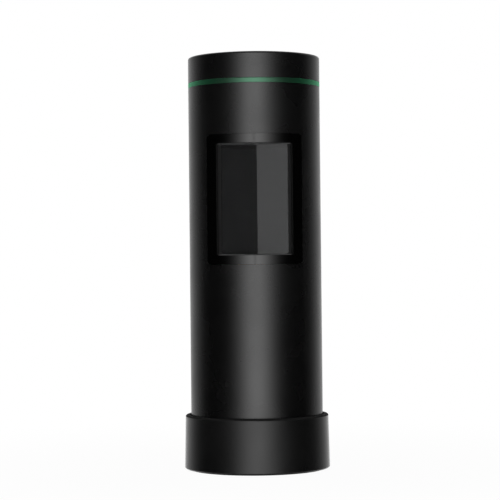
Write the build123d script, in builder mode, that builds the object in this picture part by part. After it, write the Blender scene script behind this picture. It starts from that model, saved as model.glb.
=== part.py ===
from build123d import *
import math
import os

# A hand-held colour reader standing in its calibration base, in millimetres.
# The origin is the middle of the base's underside, +Z runs up the tube,
# and the display faces -Y.

# Tube, accent ring and head cap
tube_radius = 16.5
tube_wall = 1.5
tube_edge_chamfer = 0.3
ring_height = 1.2
head_height = 6.4
head_wall = 1.6
head_rim_fillet = 0.5
spigot_wall = 1.4
spigot_reach = 3.4

# Calibration base
cup_wall = 1.3
cup_draft = 0.3
cup_cover = 7.3
cup_floor = 1.5
cup_lip_fillet = 0.5
cup_lead_in = 0.3
cup_foot_chamfer = 0.3
foot_proud = 0.3
foot_groove_depth = 0.6
foot_width = 3.0
foot_inset = 1.2
cushion_thickness = 0.5
tile_margin = 4.6
tile_thickness = 3.0
tile_chamfer = 0.3
retainer_lip = 0.5
retainer_overlap = 1.4
seat_thickness = 0.6
seat_width = 3.2

# Fits and gaps
slip_fit = 0.05
cup_fit = 0.1
foot_fit = 0.05
seat_gap = 0.02
port_gap = 0.1
button_fit = 0.1
chassis_fit = 0.2

# Screws of one size, with hexagon sockets
screw_radius = 0.75
screw_head_radius = 1.4
screw_head_height = 0.9
screw_socket_radius = 0.6
screw_socket_depth = 0.5
screw_pass_gap = 0.15
screw_thread_gap = 0.03
screw_head_gap = 0.15

# Measuring nose
nose_thickness = 3.5
nose_boss_gap = 0.8
nose_boss_chamfer = 0.5
port_radius = 4.0
port_lip = 0.6
window_radius = 5.2
window_thickness = 1.0
neck_wall = 0.9
nose_screw_length = 6.5
nose_screw_angle = 30

# Integrating sphere and its lamps
sphere_wall = 4.4
sphere_cover = 1.2
housing_gap = 0.6
housing_screw_inset = 2.4
housing_screw_count = 3
housing_screw_angle = 90
housing_screw_grip = 4.0
lamp_count = 6
lamp_offset = 1.6
lamp_size = 1.6
lamp_height = 0.7
lamp_well_radius = 1.3
board_thickness = 1.0
baffle_radius = 6.7
baffle_fit = 0.1
baffle_wall = 0.5
baffle_reach = 3.9
baffle_seat = 0.5

# Tilted detector
view_tilt = 8.0
barrel_radius = 2.6
barrel_nose_radius = 2.2
barrel_nose_length = 0.7
barrel_length = 11.0
barrel_bore = 1.5
lens_depth = 4.8
lens_radius = 2.0
lens_edge = 1.0
lens_dome_radius = 1.4
lens_dome = 0.5
lens_retainer_height = 1.0
sensor_board_radius = 4.5
sensor_size = 2.4
sensor_height = 0.6
sensor_headroom = 0.84

# Chassis
chassis_wall = 1.3
chassis_floor = 1.2
chassis_headroom = 9.3
skirt_window_width = 9.0
skirt_window_margin = 2.0
partition_thickness = 1.0
shelf_thickness = 1.2
rim_height = 1.2
cradle_inset = 3.6
cradle_width = 1.2
cradle_depth = 4.1
lead_notch_gap = 0.6
lead_notch_step = 0.3

# Battery
battery_rear_gap = 1.9
battery_length = 34.2
battery_edge = 0.6
terminal_radius = 3.0
terminal_height = 0.8
contact_thickness = 0.4
contact_width = 6.0
contact_reach = 6.0
contact_tab = 4.2
battery_pad_thickness = 0.5
battery_pad_width = 5.0
battery_pad_inset = 3.1

# Main board and what it carries
main_board_width = 22.0
main_board_corner = 1.0
main_board_rise = 0.8
main_board_top_gap = 1.5
main_board_standoff = 1.0
board_boss_radius = 1.5
board_hole_inset = 1.7
board_hole_end = 2.0
board_screw_length = 2.8
processor_size = 7.0
processor_height = 0.9
processor_gap = 3.5
memory_width = 5.0
memory_length = 4.0
memory_height = 0.8
memory_gap = 4.25
radio_width = 11.0
radio_length = 6.5
radio_height = 1.6
radio_inset = 6.0
radio_headroom = 0.2
connector_height = 0.9
connector_length = 1.2
connector_side = 0.3
lead_connector_rise = 1.5
button_connector_inset = 1.2
display_connector_rise = 1.6

# Window and display
bezel_side = 2.55
bezel_end = 2.3
bezel_corner = 1.0
bezel_cover = 0.2
bezel_bevel = 0.1
glass_width = 18.0
glass_length = 27.0
glass_thickness = 1.2
glass_sink = 0.14
glass_gap = 0.1
glass_corner = 0.5
tape_thickness = 0.15
ledge_width = 1.0
ledge_thickness = 0.5
panel_side = 0.05
panel_end = 1.6
panel_rise = 6.28
panel_thickness = 0.8
panel_gap = 0.15
backlight_thickness = 0.8

# Flat leads
lead_thickness = 0.15
lead_bend = 0.8
display_lead_width = 8.0
display_lead_drop = 2.4
sensor_lead_width = 4.0
side_lead_width = 2.4
side_lead_offset = 6.0
side_lead_step = 1.3
sensor_lead_step = 1.32
button_lead_width = 4.0
button_lead_step = 1.1
display_lead_gap = 0.3

# Charging socket at the rear
usb_width = 8.94
usb_height = 3.2
usb_depth = 7.3
usb_corner = 1.5
usb_wall = 0.3
usb_cavity_depth = 6.0
usb_tongue_width = 6.7
usb_tongue_height = 0.7
usb_tongue_length = 4.5
usb_setback = 0.6
usb_slot_gap = 0.18
usb_headroom = 0.3
usb_notch_gap = 0.36
usb_board_width = 14.0
usb_board_front = 3.0
usb_board_fit = 0.2
usb_boss_radius = 1.3
usb_boss_offset = 5.7
usb_boss_depth = 5.0
usb_screw_length = 3.2

# Measure button and its switch
button_recess = 0.2
button_dish = 0.25
button_edge = 0.3
button_flange_width = 1.4
button_flange_gap = 1.3
button_flange = 0.9
button_stem_radius = 2.5
button_stem = 0.7
button_travel = 0.5
plunger_radius = 1.5
plunger_fit = 0.05
plunger_proud = 0.7
plunger_engagement = 0.6
plunger_floor_gap = 0.05
switch_size = 6.0
switch_height = 1.6
button_board_gap = 0.55
head_boss_radius = 1.7
head_boss_count = 3
head_boss_angle = 90
head_screw_length = 3.4

# Radii, from the tube in and out
tube_bore = tube_radius - tube_wall
insert_radius = tube_bore - slip_fit
cup_bore = tube_radius + cup_fit
cup_top_radius = cup_bore + cup_wall
cup_bottom_radius = cup_top_radius + cup_draft
foot_outer = cup_bottom_radius - foot_inset
tile_radius = cup_bore - tile_margin
retainer_bore = tile_radius - retainer_overlap
nose_boss_radius = retainer_bore - nose_boss_gap
housing_radius = tube_bore - housing_gap
housing_screw_radius = housing_radius - housing_screw_inset
sphere_radius = housing_radius - sphere_wall
lamp_board_bore = baffle_radius + baffle_fit
lamp_ring_radius = baffle_radius + lamp_offset
chassis_radius = tube_bore - chassis_fit
chassis_bore = chassis_radius - chassis_wall
spigot_bore = insert_radius - spigot_wall
button_board_radius = spigot_bore - button_board_gap
head_boss_ring_radius = button_board_radius - head_boss_radius
button_flange_radius = head_boss_ring_radius - head_boss_radius - button_flange_gap
button_radius = button_flange_radius - button_flange_width
usb_mouth = tube_radius - usb_setback
screw_pass = screw_radius + screw_pass_gap
screw_thread = screw_radius + screw_thread_gap
screw_well = screw_head_radius + screw_head_gap

# Window and display, from the tube's front back to the battery
glass_opening_width = glass_width + 2 * glass_gap
glass_opening_length = glass_length + 2 * glass_gap
bezel_width = glass_opening_width + 2 * bezel_side
bezel_length = glass_opening_length + 2 * bezel_end
panel_width = glass_width + 2 * panel_side
panel_length = glass_length + 2 * panel_end
glass_front = math.sqrt(tube_radius**2 - (glass_width / 2) ** 2) - glass_sink
glass_back = glass_front - glass_thickness
tape_back = glass_back - tape_thickness
ledge_back = tape_back - ledge_thickness
panel_back = ledge_back - panel_thickness
backlight_back = panel_back - backlight_thickness
bezel_back = backlight_back - bezel_cover
main_board_front = backlight_back - radio_headroom - radio_height
main_board_back = main_board_front - board_thickness
connector_front = main_board_front + connector_height
partition_front = main_board_back - main_board_standoff
partition_back = partition_front - partition_thickness
battery_room = tube_bore - battery_rear_gap + partition_back - battery_pad_thickness
battery_radius = battery_room / 2
battery_depth = -partition_back + battery_pad_thickness + battery_radius
cradle_offset = battery_radius - cradle_inset
side_lead_depth = connector_front + side_lead_step
button_lead_depth = connector_front + button_lead_step
lead_notch_start = main_board_front + lead_notch_step
lead_notch_half_width = side_lead_offset + side_lead_width / 2 + lead_notch_gap
lead_connector_width = 2 * side_lead_offset + side_lead_width + 2 * connector_side
button_connector_width = button_lead_width + 2 * connector_side
display_connector_width = display_lead_width + 2 * connector_side

# Heights, from the table up to the lamps
shell_bottom = foot_proud
groove_top = shell_bottom + foot_groove_depth
cup_floor_top = shell_bottom + cup_floor
tile_bottom = cup_floor_top + cushion_thickness
tile_top = tile_bottom + tile_thickness
retainer_top = tile_top + retainer_lip
seat_top = retainer_top + seat_thickness
tube_bottom = seat_top + seat_gap
cup_rim = tube_bottom + cup_cover
nose_face = tile_top + port_gap
nose_top = tube_bottom + nose_thickness
window_seat = nose_face + port_lip
window_top = window_seat + window_thickness
sphere_level = nose_top + sphere_cover + sphere_radius
housing_top = sphere_level + sphere_radius + sphere_cover
lamp_board_top = housing_top + board_thickness

# The detector looks at the port along a line tilted towards the display
view_angle = math.radians(view_tilt)
view_direction = Vector(0, -math.sin(view_angle), math.cos(view_angle))
view_plane = Plane(origin=(0, 0, nose_face), x_dir=(1, 0, 0), z_dir=view_direction)
sphere_height = sphere_level - nose_face
view_middle = sphere_height * math.cos(view_angle)
view_half = math.sqrt(view_middle**2 - sphere_height**2 + sphere_radius**2)
barrel_start = view_middle + view_half
barrel_shoulder = barrel_start + barrel_nose_length
barrel_end = barrel_shoulder + barrel_length
lens_seat = barrel_shoulder + lens_depth
sensor_board_top = barrel_end + board_thickness
sensor_board_rise = sensor_board_top * math.cos(view_angle)
sensor_board_lift = sensor_board_radius * math.sin(view_angle)

# Heights, from the detector up to the button
floor_low = nose_face + sensor_board_rise + sensor_board_lift + sensor_headroom
floor_high = floor_low + chassis_floor
skirt_height = floor_low - lamp_board_top
skirt_middle = lamp_board_top + skirt_height / 2
skirt_window_height = skirt_height - 2 * skirt_window_margin
battery_bottom = floor_high + contact_thickness
battery_top = battery_bottom + battery_length + terminal_height
battery_pad_length = battery_length - 2 * battery_pad_inset
shelf_low = battery_top + contact_thickness
chassis_top = shelf_low + shelf_thickness + chassis_headroom
tube_top = chassis_top + spigot_reach
tube_length = tube_top - tube_bottom
ring_top = tube_top + ring_height
head_top = ring_top + head_height
head_ceiling = head_top - head_wall
main_board_bottom = floor_high + main_board_rise
main_board_top = chassis_top - main_board_top_gap
main_board_length = main_board_top - main_board_bottom
main_board_level = (main_board_bottom + main_board_top) / 2
radio_level = main_board_top - radio_inset
memory_level = radio_level - radio_length / 2 - memory_gap - memory_length / 2
processor_level = memory_level - memory_length / 2 - processor_gap - processor_size / 2
connector_level = main_board_bottom + lead_connector_rise
button_connector_level = main_board_top - button_connector_inset
panel_bottom = floor_high + panel_rise
window_level = panel_bottom + panel_length / 2
display_connector_level = panel_bottom + display_connector_rise
usb_board_top = floor_low - usb_headroom - usb_height
usb_board_bottom = usb_board_top - board_thickness
usb_level = usb_board_top + usb_height / 2
flange_top = head_ceiling - seat_gap
flange_bottom = flange_top - button_flange
stem_bottom = flange_bottom - button_stem
switch_top = stem_bottom - plunger_proud
button_board_top = switch_top - switch_height
button_board_bottom = button_board_top - board_thickness


def front(depth):
    """A plane in front of the axis that looks along -Y, at the given depth."""
    return Plane.XZ.offset(depth)


def level(height):
    """A horizontal plane at the given height."""
    return Plane.XY.offset(height)


def view(distance):
    """A plane square to the viewing line, at a distance from the port."""
    return view_plane.offset(distance)


def ring(base, height, radius, bore=0.0, mode=Mode.ADD):
    """A disc, or a ring with a bore, that stands on a plane."""
    with BuildSketch(base) as outline:
        Circle(radius)
        if bore > 0:
            Circle(bore, mode=Mode.SUBTRACT)
    extrude(outline.sketch, amount=height, mode=mode)


def discs(base, height, radius, points, mode=Mode.ADD):
    """Like discs at several points of a plane."""
    with BuildSketch(base) as outline:
        with Locations(*points):
            Circle(radius)
    extrude(outline.sketch, amount=height, mode=mode)


def slab(base, height, width, length, middle=(0, 0), mode=Mode.ADD):
    """A rectangular plate that stands on a plane."""
    with BuildSketch(base) as outline:
        with Locations(middle):
            Rectangle(width, length)
    extrude(outline.sketch, amount=height, mode=mode)


def rounded_slab(base, height, width, length, corner, middle=(0, 0), mode=Mode.ADD):
    """A plate with rounded corners that stands on a plane."""
    with BuildSketch(base) as outline:
        with Locations(middle):
            RectangleRounded(width, length, corner)
    extrude(outline.sketch, amount=height, mode=mode)


def screws(seat, length, points):
    """Screws whose heads sit on a plane, on its outer side."""
    discs(seat, screw_head_height, screw_head_radius, points)
    discs(seat, -length, screw_radius, points)
    with BuildSketch(seat.offset(screw_head_height)) as sockets:
        with Locations(*points):
            RegularPolygon(screw_socket_radius, 6)
    extrude(sockets.sketch, amount=-screw_socket_depth, mode=Mode.SUBTRACT)


def around(radius, count, first):
    """Points spread evenly on a circle, from an angle in degrees."""
    angles = [math.radians(first + 360 * index / count) for index in range(count)]
    return [(radius * math.cos(a), radius * math.sin(a)) for a in angles]


def flat_lead(route, width, offset=0.0):
    """A thin flat lead along a route in the plane across X, given as (Y, Z) points."""
    with BuildSketch(Plane.YZ.offset(offset)) as strip:
        with BuildLine():
            FilletPolyline(*route, radius=lead_bend)
        trace(line_width=lead_thickness)
    extrude(strip.sketch, amount=width / 2, both=True)


nose_screw_points = around(housing_screw_radius, housing_screw_count, nose_screw_angle)
housing_screw_points = around(housing_screw_radius, housing_screw_count, housing_screw_angle)
lamp_points = around(lamp_ring_radius, lamp_count, 0)
head_boss_points = around(head_boss_ring_radius, head_boss_count, head_boss_angle)
usb_boss_points = [(-usb_boss_offset, usb_boss_depth), (usb_boss_offset, usb_boss_depth)]
board_hole_x = main_board_width / 2 - board_hole_inset
board_hole_z = main_board_length / 2 - board_hole_end
board_hole_points = [
    (side * board_hole_x, main_board_level + end * board_hole_z)
    for side in (-1, 1)
    for end in (-1, 1)
]

os.makedirs("parts", exist_ok=True)

# Calibration base

with BuildPart() as base_shell:
    with BuildSketch(Plane.XZ):
        with BuildLine():
            Polyline(
                (0, shell_bottom),
                (cup_bottom_radius, shell_bottom),
                (cup_top_radius, cup_rim),
                (cup_bore, cup_rim),
                (cup_bore, cup_floor_top),
                (0, cup_floor_top),
                close=True,
            )
        make_face()
    revolve(axis=Axis.Z)
    rim_edges = base_shell.edges().group_by(Axis.Z)[-1].sort_by(SortBy.LENGTH)
    fillet(rim_edges[-1], radius=cup_lip_fillet)
    inner_rim = base_shell.edges().group_by(Axis.Z)[-1].sort_by(SortBy.LENGTH)[0]
    chamfer(inner_rim, length=cup_lead_in)
    foot_edges = base_shell.edges().group_by(Axis.Z)[0].sort_by(SortBy.LENGTH)
    chamfer(foot_edges[-1], length=cup_foot_chamfer)
    ring(
        level(shell_bottom),
        foot_groove_depth,
        foot_outer + foot_fit,
        foot_outer - foot_width - foot_fit,
        mode=Mode.SUBTRACT,
    )
base_shell.part.label = "base_shell"
export_step(base_shell.part, "parts/base_shell.step")

with BuildPart() as base_foot_ring:
    ring(level(0), groove_top, foot_outer, foot_outer - foot_width)
base_foot_ring.part.label = "base_foot_ring"
export_step(base_foot_ring.part, "parts/base_foot_ring.step")

with BuildPart() as tile_cushion:
    ring(level(cup_floor_top), cushion_thickness, tile_radius)
tile_cushion.part.label = "tile_cushion"
export_step(tile_cushion.part, "parts/tile_cushion.step")

with BuildPart() as white_tile:
    ring(level(tile_bottom), tile_thickness, tile_radius)
    chamfer(white_tile.edges().group_by(Axis.Z)[-1], length=tile_chamfer)
white_tile.part.label = "white_tile"
export_step(white_tile.part, "parts/white_tile.step")

with BuildPart() as tile_retainer:
    retainer_height = retainer_top - cup_floor_top
    ring(level(cup_floor_top), retainer_height, cup_bore - slip_fit, retainer_bore)
    ring(
        level(cup_floor_top),
        tile_top - cup_floor_top,
        tile_radius + slip_fit,
        mode=Mode.SUBTRACT,
    )
tile_retainer.part.label = "tile_retainer"
export_step(tile_retainer.part, "parts/tile_retainer.step")

with BuildPart() as seat_ring:
    ring(level(retainer_top), seat_thickness, tube_radius, tube_radius - seat_width)
seat_ring.part.label = "seat_ring"
export_step(seat_ring.part, "parts/seat_ring.step")

# Outside of the instrument

with BuildPart() as body_tube:
    ring(level(tube_bottom), tube_length, tube_radius, tube_bore)
    bottom_edges = body_tube.edges().group_by(Axis.Z)[0].sort_by(SortBy.LENGTH)
    chamfer(bottom_edges[-1], length=tube_edge_chamfer)
    rounded_slab(
        front(bezel_back - slip_fit),
        tube_radius,
        bezel_width + 2 * slip_fit,
        bezel_length + 2 * slip_fit,
        bezel_corner,
        middle=(0, window_level),
        mode=Mode.SUBTRACT,
    )
    rounded_slab(
        front(0),
        -2 * tube_radius,
        usb_width + 2 * usb_slot_gap,
        usb_height + 2 * usb_slot_gap,
        usb_corner + usb_slot_gap,
        middle=(0, usb_level),
        mode=Mode.SUBTRACT,
    )
body_tube.part.label = "body_tube"
export_step(body_tube.part, "parts/body_tube.step")

with BuildPart() as accent_ring:
    ring(level(tube_top), ring_height, tube_radius, tube_bore)
accent_ring.part.label = "accent_ring"
export_step(accent_ring.part, "parts/accent_ring.step")

with BuildPart() as head_cap:
    ring(level(ring_top), head_height, tube_radius)
    fillet(head_cap.edges().group_by(Axis.Z)[-1], radius=head_rim_fillet)
    ring(level(chassis_top), ring_top - chassis_top, insert_radius)
    ring(level(chassis_top), head_ceiling - chassis_top, spigot_bore, mode=Mode.SUBTRACT)
    discs(
        level(button_board_top),
        head_ceiling - button_board_top,
        head_boss_radius,
        head_boss_points,
    )
    discs(
        level(button_board_top),
        head_screw_length,
        screw_thread,
        head_boss_points,
        mode=Mode.SUBTRACT,
    )
    ring(level(head_ceiling), head_wall, button_radius + button_fit, mode=Mode.SUBTRACT)
    bore_edge = head_cap.edges().group_by(Axis.Z)[-1].sort_by(SortBy.LENGTH)[0]
    chamfer(bore_edge, length=button_edge)
head_cap.part.label = "head_cap"
export_step(head_cap.part, "parts/head_cap.step")

# Window and display

with BuildPart() as window_bezel:
    rounded_slab(
        front(bezel_back),
        tube_radius,
        bezel_width,
        bezel_length,
        bezel_corner,
        middle=(0, window_level),
    )
    ring(level(tube_bottom), tube_length, tube_radius, mode=Mode.INTERSECT)
    rounded_slab(
        front(tape_back),
        tube_radius,
        glass_opening_width,
        glass_opening_length,
        glass_corner,
        middle=(0, window_level),
        mode=Mode.SUBTRACT,
    )
    outer_edges = window_bezel.edges().filter_by(
        lambda edge: edge.center().Y < -glass_front
        and abs(edge.center().X) < bezel_width / 2 - bezel_corner
        and abs(edge.center().Z - window_level) < bezel_length / 2 - bezel_corner
        and max(abs(v.Z - window_level) for v in edge.vertices()) < bezel_length / 2 - bezel_corner
        and min(math.hypot(v.X, v.Y) for v in edge.vertices()) > tube_radius - slip_fit
    )
    chamfer(outer_edges, length=bezel_bevel)
    slab(
        front(ledge_back),
        ledge_thickness,
        glass_width - 2 * ledge_width,
        glass_length - 2 * ledge_width,
        middle=(0, window_level),
        mode=Mode.SUBTRACT,
    )
    slab(
        front(ledge_back),
        -ledge_back,
        panel_width + 2 * panel_gap,
        panel_length + 2 * panel_gap,
        middle=(0, window_level),
        mode=Mode.SUBTRACT,
    )
    slab(
        front(ledge_back),
        -ledge_back,
        display_lead_width + 2 * display_lead_gap,
        2 * bezel_end,
        middle=(0, panel_bottom),
        mode=Mode.SUBTRACT,
    )
window_bezel.part.label = "window_bezel"
export_step(window_bezel.part, "parts/window_bezel.step")

with BuildPart() as display_glass:
    rounded_slab(
        front(glass_back),
        glass_thickness,
        glass_width,
        glass_length,
        glass_corner,
        middle=(0, window_level),
    )
display_glass.part.label = "display_glass"
export_step(display_glass.part, "parts/display_glass.step")

with BuildPart() as display_tape:
    rounded_slab(
        front(tape_back),
        tape_thickness,
        glass_width,
        glass_length,
        glass_corner,
        middle=(0, window_level),
    )
    slab(
        front(tape_back),
        tape_thickness,
        glass_width - 2 * ledge_width,
        glass_length - 2 * ledge_width,
        middle=(0, window_level),
        mode=Mode.SUBTRACT,
    )
display_tape.part.label = "display_tape"
export_step(display_tape.part, "parts/display_tape.step")

with BuildPart() as display_panel:
    slab(front(panel_back), panel_thickness, panel_width, panel_length, middle=(0, window_level))
display_panel.part.label = "display_panel"
export_step(display_panel.part, "parts/display_panel.step")

with BuildPart() as display_backlight:
    slab(
        front(backlight_back),
        backlight_thickness,
        panel_width,
        panel_length,
        middle=(0, window_level),
    )
display_backlight.part.label = "display_backlight"
export_step(display_backlight.part, "parts/display_backlight.step")

panel_middle = (ledge_back + panel_back) / 2
display_lead_low = panel_bottom - display_lead_drop
display_lead_back = main_board_front + connector_height / 2
with BuildPart() as display_flex:
    flat_lead(
        [
            (-panel_middle, panel_bottom),
            (-panel_middle, display_lead_low),
            (-display_lead_back, display_lead_low),
            (-display_lead_back, display_connector_level - connector_length / 2),
        ],
        display_lead_width,
    )
display_flex.part.label = "display_flex"
export_step(display_flex.part, "parts/display_flex.step")

# Measuring nose

with BuildPart() as nose_ring:
    ring(level(tube_bottom), nose_thickness, insert_radius)
    ring(level(nose_face), tube_bottom - nose_face, nose_boss_radius)
    chamfer(nose_ring.edges().group_by(Axis.Z)[0], length=nose_boss_chamfer)
    ring(level(nose_face), port_lip, port_radius, mode=Mode.SUBTRACT)
    ring(level(window_seat), nose_top - window_seat, window_radius + slip_fit, mode=Mode.SUBTRACT)
    discs(level(tube_bottom), nose_thickness, screw_pass, nose_screw_points, mode=Mode.SUBTRACT)
    discs(
        level(tube_bottom),
        screw_head_height + screw_head_gap,
        screw_well,
        nose_screw_points,
        mode=Mode.SUBTRACT,
    )
nose_ring.part.label = "nose_ring"
export_step(nose_ring.part, "parts/nose_ring.step")

nose_screw_seat = tube_bottom + screw_head_height + screw_head_gap
with BuildPart() as nose_screws:
    mirrored_points = [(x, -y) for x, y in nose_screw_points]
    screws(
        Plane(origin=(0, 0, nose_screw_seat), x_dir=(1, 0, 0), z_dir=(0, 0, -1)),
        nose_screw_length,
        mirrored_points,
    )
nose_screws.part.label = "nose_screws"
export_step(nose_screws.part, "parts/nose_screws.step")

with BuildPart() as port_window:
    ring(level(window_seat), window_thickness, window_radius)
port_window.part.label = "port_window"
export_step(port_window.part, "parts/port_window.step")

# Integrating sphere

nose_thread_depth = nose_screw_length - (nose_top - nose_screw_seat)
with BuildPart() as sphere_lower_half:
    ring(level(nose_top), sphere_level - nose_top, housing_radius)
    ring(level(window_top), nose_top - window_top, window_radius)
    ring(
        level(window_top),
        sphere_level - window_top,
        window_radius - neck_wall,
        mode=Mode.SUBTRACT,
    )
    with Locations((0, 0, sphere_level)):
        Sphere(sphere_radius, mode=Mode.SUBTRACT)
    discs(
        level(nose_top),
        nose_thread_depth + screw_head_gap,
        screw_thread,
        nose_screw_points,
        mode=Mode.SUBTRACT,
    )
    discs(
        level(sphere_level),
        -housing_screw_grip - screw_head_gap,
        screw_thread,
        housing_screw_points,
        mode=Mode.SUBTRACT,
    )
sphere_lower_half.part.label = "sphere_lower_half"
export_step(sphere_lower_half.part, "parts/sphere_lower_half.step")

baffle_top = (
    sphere_level + math.sqrt(sphere_radius**2 - (baffle_radius - baffle_wall) ** 2) + baffle_seat
)
with BuildPart() as sphere_upper_half:
    ring(level(sphere_level), housing_top - sphere_level, housing_radius)
    with Locations((0, 0, sphere_level)):
        Sphere(sphere_radius, mode=Mode.SUBTRACT)
    discs(
        level(sphere_level),
        housing_top - sphere_level,
        lamp_well_radius,
        lamp_points,
        mode=Mode.SUBTRACT,
    )
    discs(
        level(sphere_level),
        housing_top - sphere_level,
        screw_pass,
        housing_screw_points,
        mode=Mode.SUBTRACT,
    )
    ring(
        level(sphere_level),
        baffle_top - sphere_level,
        baffle_radius + slip_fit,
        baffle_radius - baffle_wall - slip_fit,
        mode=Mode.SUBTRACT,
    )
    ring(
        view(view_middle),
        barrel_shoulder - view_middle,
        barrel_nose_radius + slip_fit,
        mode=Mode.SUBTRACT,
    )
    ring(view(barrel_shoulder), barrel_length, barrel_radius + slip_fit, mode=Mode.SUBTRACT)
sphere_upper_half.part.label = "sphere_upper_half"
export_step(sphere_upper_half.part, "parts/sphere_upper_half.step")

with BuildPart() as light_baffle:
    ring(level(baffle_top), -baffle_reach, baffle_radius, baffle_radius - baffle_wall)
light_baffle.part.label = "light_baffle"
export_step(light_baffle.part, "parts/light_baffle.step")

with BuildPart() as led_board:
    ring(level(housing_top), board_thickness, housing_radius, lamp_board_bore)
    discs(
        level(housing_top),
        board_thickness,
        screw_pass,
        housing_screw_points,
        mode=Mode.SUBTRACT,
    )
led_board.part.label = "led_board"
export_step(led_board.part, "parts/led_board.step")

with BuildPart() as leds:
    with BuildSketch(level(housing_top)):
        with PolarLocations(lamp_ring_radius, lamp_count):
            Rectangle(lamp_size, lamp_size)
    extrude(amount=-lamp_height)
leds.part.label = "leds"
export_step(leds.part, "parts/leds.step")

with BuildPart() as sphere_screws:
    screws(
        level(lamp_board_top),
        lamp_board_top - sphere_level + housing_screw_grip,
        housing_screw_points,
    )
sphere_screws.part.label = "sphere_screws"
export_step(sphere_screws.part, "parts/sphere_screws.step")

# Detector

with BuildPart() as lens_barrel:
    ring(view(barrel_start), barrel_nose_length, barrel_nose_radius)
    ring(view(barrel_shoulder), barrel_length, barrel_radius)
    ring(view(barrel_start), barrel_end - barrel_start, barrel_bore, mode=Mode.SUBTRACT)
    ring(view(lens_seat), barrel_end - lens_seat, lens_radius + slip_fit, mode=Mode.SUBTRACT)
lens_barrel.part.label = "lens_barrel"
export_step(lens_barrel.part, "parts/lens_barrel.step")

lens_plane = Plane(
    origin=view(lens_seat).origin,
    x_dir=(1, 0, 0),
    z_dir=Vector(1, 0, 0).cross(view_direction),
)
with BuildPart() as detector_lens:
    with BuildSketch(lens_plane):
        with BuildLine():
            Polyline(
                (0, lens_edge + lens_dome),
                (0, 0),
                (lens_radius, 0),
                (lens_radius, lens_edge),
                (lens_dome_radius, lens_edge),
            )
            RadiusArc(
                (lens_dome_radius, lens_edge),
                (0, lens_edge + lens_dome),
                -(lens_dome_radius**2 + lens_dome**2) / (2 * lens_dome),
            )
        make_face()
    revolve(axis=Axis(lens_plane.origin, view_direction))
detector_lens.part.label = "detector_lens"
export_step(detector_lens.part, "parts/detector_lens.step")

with BuildPart() as lens_retainer:
    ring(view(lens_seat + lens_edge), lens_retainer_height, lens_radius, lens_dome_radius)
lens_retainer.part.label = "lens_retainer"
export_step(lens_retainer.part, "parts/lens_retainer.step")

with BuildPart() as sensor_board:
    ring(view(barrel_end), board_thickness, sensor_board_radius)
sensor_board.part.label = "sensor_board"
export_step(sensor_board.part, "parts/sensor_board.step")

with BuildPart() as colour_sensor:
    slab(view(barrel_end), -sensor_height, sensor_size, sensor_size)
colour_sensor.part.label = "colour_sensor"
export_step(colour_sensor.part, "parts/colour_sensor.step")

# Chassis, battery and boards

with BuildPart() as chassis:
    ring(level(lamp_board_top), skirt_height, chassis_radius, chassis_bore)
    for plane, reach in (
        (Plane.YZ, chassis_radius),
        (Plane.YZ, -chassis_radius),
        (Plane.XZ, chassis_radius),
    ):
        slab(
            plane,
            reach,
            skirt_window_width,
            skirt_window_height,
            middle=(0, skirt_middle),
            mode=Mode.SUBTRACT,
        )
    socket_notch = floor_low - usb_board_bottom + usb_headroom
    slab(
        front(0),
        -chassis_radius,
        usb_width + 2 * usb_notch_gap,
        socket_notch,
        middle=(0, floor_low - socket_notch / 2),
        mode=Mode.SUBTRACT,
    )
    ring(level(floor_low), chassis_floor, chassis_radius)
    slab(
        level(floor_low),
        chassis_floor,
        2 * lead_notch_half_width,
        chassis_radius - lead_notch_start,
        middle=(0, -(chassis_radius + lead_notch_start) / 2),
        mode=Mode.SUBTRACT,
    )
    with BuildSketch(level(floor_high)) as walls:
        Circle(chassis_radius)
        Circle(chassis_bore, mode=Mode.SUBTRACT)
        with Locations((0, (battery_depth - partition_front) / 2)):
            Rectangle(
                2 * chassis_radius,
                battery_depth + partition_front,
                mode=Mode.INTERSECT,
            )
    extrude(walls.sketch, amount=chassis_top - floor_high)
    with BuildSketch(level(floor_high)) as spine:
        Circle(chassis_radius)
        with Locations((0, -(partition_front + partition_back) / 2)):
            Rectangle(2 * chassis_radius, partition_thickness, mode=Mode.INTERSECT)
    extrude(spine.sketch, amount=chassis_top - floor_high)
    with BuildSketch(level(shelf_low)) as shelf:
        Circle(chassis_radius)
        with Locations((0, (chassis_radius - partition_front) / 2)):
            Rectangle(
                2 * chassis_radius,
                chassis_radius + partition_front,
                mode=Mode.INTERSECT,
            )
    extrude(shelf.sketch, amount=shelf_thickness)
    ring(level(chassis_top), -rim_height, chassis_radius, chassis_bore)
    with BuildSketch(level(floor_high)) as cradle:
        for side in (-1, 1):
            with Locations((side * (cradle_offset + cradle_width / 2), 0)):
                with Locations((0, -partition_back + cradle_depth / 2)):
                    Rectangle(cradle_width, cradle_depth)
        with Locations((0, battery_depth)):
            Circle(battery_radius + slip_fit, mode=Mode.SUBTRACT)
    extrude(cradle.sketch, amount=shelf_low - floor_high)
    for height in (floor_high, shelf_low - contact_thickness):
        slab(
            level(height),
            contact_thickness,
            contact_width + 2 * slip_fit,
            partition_thickness,
            middle=(0, -(partition_front + partition_back) / 2),
            mode=Mode.SUBTRACT,
        )
    discs(front(partition_front), main_board_standoff, board_boss_radius, board_hole_points)
    discs(
        front(main_board_back),
        -board_screw_length + board_thickness,
        screw_thread,
        board_hole_points,
        mode=Mode.SUBTRACT,
    )
    discs(level(usb_board_top), floor_low - usb_board_top, usb_boss_radius, usb_boss_points)
    discs(
        level(usb_board_top),
        usb_screw_length - board_thickness + screw_head_gap,
        screw_thread,
        usb_boss_points,
        mode=Mode.SUBTRACT,
    )
chassis.part.label = "chassis"
export_step(chassis.part, "parts/chassis.step")

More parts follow.
